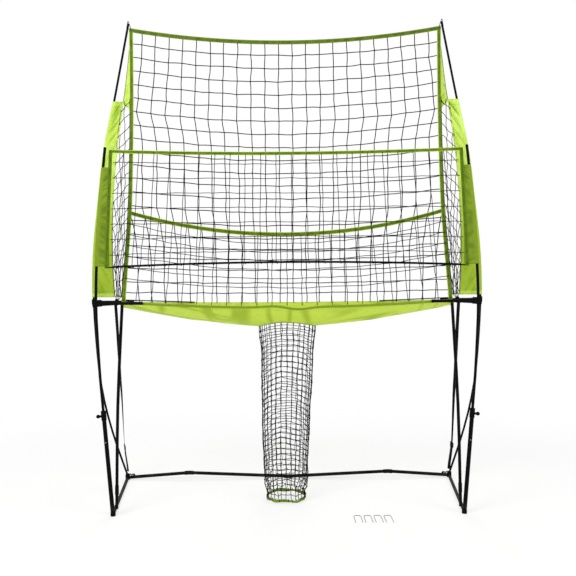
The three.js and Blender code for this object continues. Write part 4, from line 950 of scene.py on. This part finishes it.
def makeSleeve(side, s, kind):
    cut = sleeveCut[kind]
    node, pole, body = f"{side}_{kind}_sleeve", f"{side}_{cut['pole']}", cut["body"].format(side=side)
    low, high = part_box(node)
    reach, flapSteps = cut["radius"] + sleeveCut["clearance"], sleeveCut["flapSteps"]
    rings, folds, widths = [], [], []
    for z in evenly(low.z, high.z, sleeveCut["steps"]):
        sliceZ = clamp(z, low.z + 0.001, high.z - 0.001)
        centre = middleAt(pole, "z", sliceZ)
        flapX = innermost(crossings(node, "z", sliceZ)).x - s * cut["reachIn"] * ease((z - 2.0) / 0.6)
        fromLow, fromHigh = z - low.z, high.z - z
        # folds climb inwards at the top and drop inwards at the foot
        slope = cut["tilt"] * (1.2 if fromHigh < fromLow else -1.0)
        nearEnd = exp(-fromLow / sleeveCut["lowFade"]) + exp(-fromHigh / sleeveCut["highFade"])
        nearEnd = mix(nearEnd, 1, cut["calm"])
        angles = [radians(turn) for turn in evenly(sleeveCut["wrap"], -sleeveCut["wrap"], 8)]
        ring = [Vector((centre.x + s * reach * cos(a), centre.y + reach * sin(a), z)) for a in angles]
        layers, depths = {-1: [], 1: []}, []
        for k in range(flapSteps + 1):
            share = (k + 1) / (flapSteps + 1)
            x = mix(centre.x - s * reach * sleeveCut["flapStart"], flapX, share)
            flat = abs(x - centre.x)
            climb = flat * slope
            crease = max(creaseAt(flat * 2.5, (z - climb) * 9, s * 4 + 1),
                         0.7 * creaseAt(flat * 5, (z - climb * 0.8) * 17, s * 7))
            crease *= clamp(nearEnd) * sin(pi * clamp(share * 0.86 + 0.1))
            swell = noise.noise(Vector((flat * 3, (z - climb) * 9, s * 3 + 2))) * nearEnd
            shift = (crease * 0.8 - swell * 0.7) * sleeveCut["foldDepth"] * cut["fold"]
            shift *= sin(pi * clamp(share * 0.93))
            for way, layer in layers.items():  # the front and the back of the flap
                seat = way * sleeveCut["flapGap"] - cut["forward"]
                gap = mix(way * reach * sleeveCut["flapRoot"], seat, ease(share * 2.2))
                layer.append(Vector((x, centre.y + gap + shift, z)))
            depths.append(crease)
        ring += layers[-1] + layers[1][::-1]
        rings.append(ring[::s])
        folds += ([0.0] * 9 + depths + depths[::-1])[::s]
        widths.append(sum((a - b).length for a, b in zip(ring, ring[1:])))
    skin, hem = Skin(), Skin()
    skin.loft(rings, hasCaps=False)
    skin.folds = folds
    piece = skin.build(f"{side}_{kind}_sleeve_cloth", cut["slot"], [node], body=body)
    thicken(piece, sleeveCut["thickness"])
    for ring, z in ((rings[0], low.z + sleeveCut["hemInset"]), (rings[-1], high.z - sleeveCut["hemInset"])):
        hem.tube([Vector((p.x, p.y, z)) for p in ring], sleeveCut["hem"], 6, isRing=True)
    hems = hem.build(f"{side}_{kind}_sleeve_hems", cut["slot"], body=body)
    length = sum((a[4] - b[4]).length for a, b in zip(rings, rings[1:]))
    print(node, "cut to", round(max(widths), 3), "by", round(length, 3))


gussetCut = {"top": 3.33, "foot": 2.80, "thickness": 0.0011, "sag": 0.006, "steps": 44, "overlap": 0.006,
             "cornerDrop": 0.004, "cornerReach": 0.008}


def makeGusset(side, s):  # closes the side net from the sleeve's top to the corner of the back net
    tape, sleeve = f"{side}_edge_tape", f"{side}_rear_sleeve"
    top, foot, sleeveTop = gussetCut["top"], gussetCut["foot"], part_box(sleeve)[1].z
    corner = innermost(crossings(sleeve, "z", sleeveTop - gussetCut["cornerDrop"]))
    corner -= right * (s * gussetCut["cornerReach"])
    rings, folds = [], []
    for z in evenly(foot, top, gussetCut["steps"]):
        inner = middleAt(tape, "z", z) + right * (s * gussetCut["overlap"])
        inner.z = z
        share = clamp((z - sleeveTop) / (top - sleeveTop))
        outer = Vector((corner.x, corner.y, z)).lerp(inner + right * (s * 0.002), share ** 0.8)
        if z < sleeveTop:
            outer = outer.lerp(inner, 0.92 * ease((sleeveTop - z) / (sleeveTop - foot)))
        sag = forward * gussetCut["sag"] * (1 - share)
        rings.append([inner.lerp(outer, v) + sag * sin(pi * v) for v in evenly(0, 1, 6)])
        folds += [0.5 * creaseAt(k * 0.5, z * 12 + k * 0.3, s * 2 + 0.5) for k in range(7)]
    skin, cord = Skin(), Skin()
    skin.loft(rings, isClosed=False)
    skin.folds = folds
    piece = skin.build(f"{side}_side_gusset", "lime_cloth")
    thicken(piece, gussetCut["thickness"])
    flat = (max((ring[0] - ring[-1]).length for ring in rings) * 1.05, (top - foot) * 1.02)
    cord.tube([ring[-1] for ring in rings if ring[-1].z > sleeveTop], twine["radius"] * 0.8, 5)
    cord.build(f"{side}_gusset_cord", "net_twine")


# Straps, ties and loops
strapWeb = {
    "width": 0.025, "thickness": 0.0017,
    # The strap faces the front at its top and turns edge on above the buckle.
    "turns": [(0, 82), (0.2, 72), (0.48, 48), (0.65, 32), (0.74, 22), (0.82, 18), (0.9, 42), (1, 48)],
    "hangOut": [(0, 0.010), (0.48, 0.017), (0.85, 0.026), (1, 0.015)],
}


def makeStrap(side, s):
    low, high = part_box(f"{side}_strap")
    path = middleLine(f"{side}_strap", "z", high.z - 0.001, low.z + 0.001, 70)
    path = [p + right * (s * keyed(strapWeb["hangOut"], i / 70)) for i, p in enumerate(path)]
    run = (path[-1] - path[0]).normalized()
    edgeOn, faceOn = run.cross(right).normalized(), run.cross(forward).normalized()

    def facing(first, other):
        def at(share):
            angle = radians(keyed(strapWeb["turns"], share))
            return first * cos(angle) + other * sin(angle)
        return at

    skin = Skin()
    skin.band(path, strapWeb["width"], strapWeb["thickness"], facing(edgeOn, faceOn), facing(faceOn, -edgeOn))
    skin.build(f"{side}_strap_web", "webbing", [f"{side}_strap"])
    makeBuckle(side, s, run, edgeOn, faceOn)


buckleFrame = {"width": 0.034, "length": 0.040, "rail": 0.0032, "bars": (-0.5, -0.12, 0.22, 0.5),
               "hangOut": 0.026, "turn": 24, "railBow": 0.0015, "barRise": 0.003}


def makeBuckle(side, s, run, edgeOn, faceOn):  # two rails and four bars, the strap laced through
    low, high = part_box(f"{side}_buckle")
    middle = (low + high) / 2 + right * (s * buckleFrame["hangOut"])
    angle = radians(buckleFrame["turn"])
    across = (edgeOn * cos(angle) + faceOn * sin(angle)) * buckleFrame["width"]
    out = faceOn * cos(angle) - edgeOn * sin(angle)

    def place(end, share, lift):
        return middle + across * end + run * (share * buckleFrame["length"]) + out * lift

    skin = Skin()
    for end in (-0.5, 0.5):
        rail = [place(end, v, buckleFrame["railBow"] * cos(v * pi)) for v in evenly(-0.5, 0.5, 8)]
        skin.tube(rail, buckleFrame["rail"], 8)
    for v in buckleFrame["bars"]:
        bar = [place(end, v, buckleFrame["barRise"] * sin(v * 4)) for end in (-0.5, -0.2, 0.2, 0.5)]
        skin.tube(bar, buckleFrame["rail"] * 0.85, 8)
    skin.build(f"{side}_ladder_buckle", "black_plastic", [f"{side}_buckle"])


ballTie = {"ball": 0.0105, "cord": 0.0028, "curl": 0.012, "hangOut": 0.016, "drop": 0.022, "apart": 0.004,
           "path": ((0, 1, 0), (0.35, 2, -0.002), (0.7, 2.4, 0.010), (1, 0.6, 0.006))}  # share, spread, rise


def outerInner(s, low, high, inset):  # the x of a node's outer and inner side, set in
    return (high.x - inset, low.x + inset) if s > 0 else (low.x + inset, high.x - inset)


def makeTie(side, s):
    low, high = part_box(f"{side}_tie")
    y, size = (low.y + high.y) / 2, ballTie["ball"]
    hang = Vector((s * ballTie["hangOut"], 0, -ballTie["drop"]))
    start = Vector((outerInner(s, low, high, 0.002)[0], y, high.z - 0.003)) + hang * 0.8
    ball = Vector((outerInner(s, low, high, 0.009)[1], y, low.z + size)) + hang
    cords, knob = Skin(), Skin()
    for shift in (-ballTie["apart"], ballTie["apart"]):
        points = [start.lerp(ball, share) + Vector((0, shift * spread, rise))
                  for share, spread, rise in ballTie["path"]]
        cords.tube(curveThrough(points, 18), ballTie["cord"], 8)
    curl = []
    for share in evenly(0, 1, 28):  # the loose end curls over the ball
        turn, reach = tau * 1.35 * share, ballTie["curl"] * (1 - 0.25 * share)
        x, z = 0.004 - reach * cos(turn), 0.009 + reach * sin(turn)
        curl.append(ball + Vector((s * x, -0.006 * (1 + share), z)))
    cords.tube(curl, ballTie["cord"] * 0.8, 8)
    cords.build(f"{side}_elastic_tie", "webbing", [f"{side}_tie"])
    knob.turned(ball, -up, size, [(-cos(pi * j / 12), sin(pi * j / 12)) for j in range(1, 12)], 16)
    knob.build(f"{side}_tie_ball", "black_plastic")


tipLoop = {"inset": 0.006, "crown": 0.5, "reachIn": 0.004, "cord": 0.0024, "bulge": 0.001,
           "outerDrop": 0.003, "innerDrop": 0.006}


def makeTipLoop(side, s):
    low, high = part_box(f"{side}_tip_loop")
    y, bulge = (low.y + high.y) / 2, right * (s * tipLoop["bulge"])
    outer, inner = outerInner(s, low, high, 0)
    foot = Vector((outer - s * tipLoop["inset"], y, low.z - tipLoop["outerDrop"]))
    crown = Vector((mix(outer, inner, tipLoop["crown"]), y, high.z - tipLoop["cord"]))
    corner = Vector((inner - s * tipLoop["reachIn"], y, low.z - tipLoop["innerDrop"]))
    points = [foot, foot.lerp(crown, 0.6) + bulge, crown, corner.lerp(crown, 0.6) - bulge, corner]
    skin = Skin()
    skin.tube(curveThrough(points, 24), tipLoop["cord"], 8)
    skin.build(f"{side}_tip_web", "webbing", [f"{side}_tip_loop"])


# Small fasteners
rivetCap = {"radius": 0.0042, "height": 0.0024, "sink": 0.0002,
            "shape": ((-0.5, 1.0), (0.15, 1.0), (0.6, 0.86), (0.9, 0.55), (1.0, 0.2))}
rivetPlaces = {"sleeve": (0.14, 0.86), "frontArm": (0.18, 0.42), "rearArm": 0.08, "strut": (0.15, 0.18),
               "strutSink": 0.0004, "strutRadius": 0.0032}
socketButton = {"at": 0.49, "radius": 0.0042, "height": 0.003, "sink": -0.0004}


def rivet(skin, nodeName, axisName, at, face=None, sink=rivetCap["sink"], radius=rivetCap["radius"],
          height=rivetCap["height"]):
    low, high = spanAt(nodeName, axisName, at)
    middle = (low + high) / 2
    middle["xyz".index(axisName)] = at
    if face == "top":
        place, direction = Vector((middle.x, middle.y, high.z - sink)), up
    else:  # face is the y of the front face, where it isn't the slice's own
        place, direction = Vector((middle.x, (low.y if face is None else face) + sink, middle.z)), -forward
    skin.turned(place, direction, radius, [(h * height / radius, w) for h, w in rivetCap["shape"]], 14)


def makeFasteners():
    rivets, buttons = Skin(), Skin()
    for node in ["crossbar_middle_sleeve"] + [f"{side}_crossbar_sleeve" for side in sides]:
        low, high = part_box(node)
        for share in rivetPlaces["sleeve"]:
            rivet(rivets, node, "x", mix(low.x, high.x, share), low.y)
    for side, s in sides.items():
        low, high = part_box(f"{side}_front_arm")
        outer, inner = outerInner(s, low, high, 0)
        for share in rivetPlaces["frontArm"]:
            rivet(rivets, f"{side}_front_arm", "x", mix(outer, inner, share))
        outer = outerInner(s, *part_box(f"{side}_rear_arm"), 0)[0]
        rivet(rivets, f"{side}_rear_arm", "x", outer - s * rivetPlaces["rearArm"], "top")
        for z in rivetPlaces["strut"]:
            rivet(rivets, f"{side}_strut", "z", z, None, rivetPlaces["strutSink"], rivetPlaces["strutRadius"])
        rivet(buttons, f"{side}_leg_socket", "z", socketButton["at"], None, socketButton["sink"],
              socketButton["radius"], socketButton["height"])
    rivets.build("frame_rivets", "black_plastic")
    buttons.build("socket_buttons", "bright_steel")


# The frame's own nodes
def finishFrame():
    slotOf = {part["node"]: part["material_slot"] for part in frame["record"]["subparts"]}
    for name, piece in nodes.items():
        piece.data.materials.clear()
        piece.data.materials.append(looks[slotOf[name]])
        piece.data.polygons.foreach_set("use_smooth", [True] * len(piece.data.polygons))
        piece.data.set_sharp_from_angle(angle=radians(42))


# Room, light and camera
room = {"reach": 60.0, "floorTone": (250, 250, 250), "skyLight": 0.56, "whiteFrom": 1.8, "whiteTo": 4.5,
        "shadowKept": 0.36, "floorDrop": 0.0004}


def seenDirectly(look):  # 1 for the camera's rays and for reflections
    rays = look.node("ShaderNodeLightPath")
    return rays.out("Is Camera Ray").maths("MAXIMUM", rays.out("Is Glossy Ray"))


def makeRoom():
    bright, reach = {"Color": (1, 1, 1, 1), "Strength": 1.0}, room["reach"]
    look = Look("pale_floor")
    look.dress(Base_Color=paint(room["floorTone"]), Roughness=0.9, Specular_IOR_Level=0.0)
    away = look.node("ShaderNodeVectorMath", {"operation": "LENGTH"}, {0: look.place()}, 1)
    away = away.rise(room["whiteFrom"], room["whiteTo"]) * room["shadowKept"] + (1 - room["shadowKept"])
    look.cover(seenDirectly(look) * away, look.node("ShaderNodeEmission", {}, bright), "Material Output")
    mesh = bpy.data.meshes.new("floor")
    corners = [(x * reach, y * reach, 0) for x, y in ((-1, -1), (1, -1), (1, 1), (-1, 1))]
    mesh.from_pydata(corners, [], [(0, 1, 2, 3)])
    mesh.materials.append(look.material)
    floor = addObject("floor", mesh)
    floor.location.z = -room["floorDrop"]
    world = bpy.context.scene.world = bpy.data.worlds.new("studio")
    sky = Look("studio", world)
    sky.dress(Color=(1, 1, 1, 1), Strength=room["skyLight"])
    sky.cover(seenDirectly(sky), sky.node("ShaderNodeBackground", {}, bright), "World Output")


lamps = {
    "key": {"place": (-3.2, -4.4, 5.2), "aim": (0, 0, 1.4), "size": 3.2, "power": 225},
    "fill": {"place": (3.8, -3.6, 3.4), "aim": (0, 0, 1.2), "size": 3.0, "power": 85},
    "back": {"place": (0.6, 4.6, 4.6), "aim": (0, 0, 1.6), "size": 3.4, "power": 105},
}


def makeLamps():
    for name, facts in lamps.items():
        data = bpy.data.lights.new(name, "AREA")
        data.shape, data.size, data.energy = "DISK", facts["size"], facts["power"]
        lamp = addObject(name, data)
        lamp.location = facts["place"]
        lamp.rotation_euler = (Vector(facts["aim"]) - lamp.location).to_track_quat("-Z", "Y").to_euler()


cameraSet = {
    "height": 1.497, "distance": 5.265, "baseMiddle": 0.082, "lens": 45.0, "sensor": 36.0,
    "framePixels": 576, "horizonPixel": 290, "middlePixel": 287, "roll": 0.45,
}


def makeCamera():
    data = bpy.data.cameras.new("camera")
    data.lens, data.sensor_width = cameraSet["lens"], cameraSet["sensor"]
    pixels = cameraSet["framePixels"]
    data.shift_y = cameraSet["horizonPixel"] / pixels - 0.5
    data.shift_x = 0.5 - cameraSet["middlePixel"] / pixels
    camera = addObject("camera", data)
    spot = Vector((0, cameraSet["baseMiddle"] - cameraSet["distance"], cameraSet["height"]))
    turn = Matrix.Rotation(radians(90), 4, "X") @ Matrix.Rotation(radians(-cameraSet["roll"]), 4, "Z")
    camera.matrix_world = Matrix.Translation(spot) @ turn
    bpy.context.scene.camera = camera


makeCamera()
finishFrame()
makeBackNet()
makePocketNet()
makeFrontNet()
for side, s in sides.items():
    makeSideNet(side, s)
print("nets done")
makePan(makePanTrims())
makeChute()
print("pan and chute done")
makeTapes()
makeFrontTape()
for side, s in sides.items():
    makeSleeve(side, s, "rear")
    makeSleeve(side, s, "front")
for side, s in sides.items():
    makeGusset(side, s)
    makeStrap(side, s)
    makeTie(side, s)
    makeTipLoop(side, s)
makeFasteners()
print("cloth and trims done")
makeRoom()
makeLamps()
bpy.context.scene.view_settings.view_transform = "Standard"
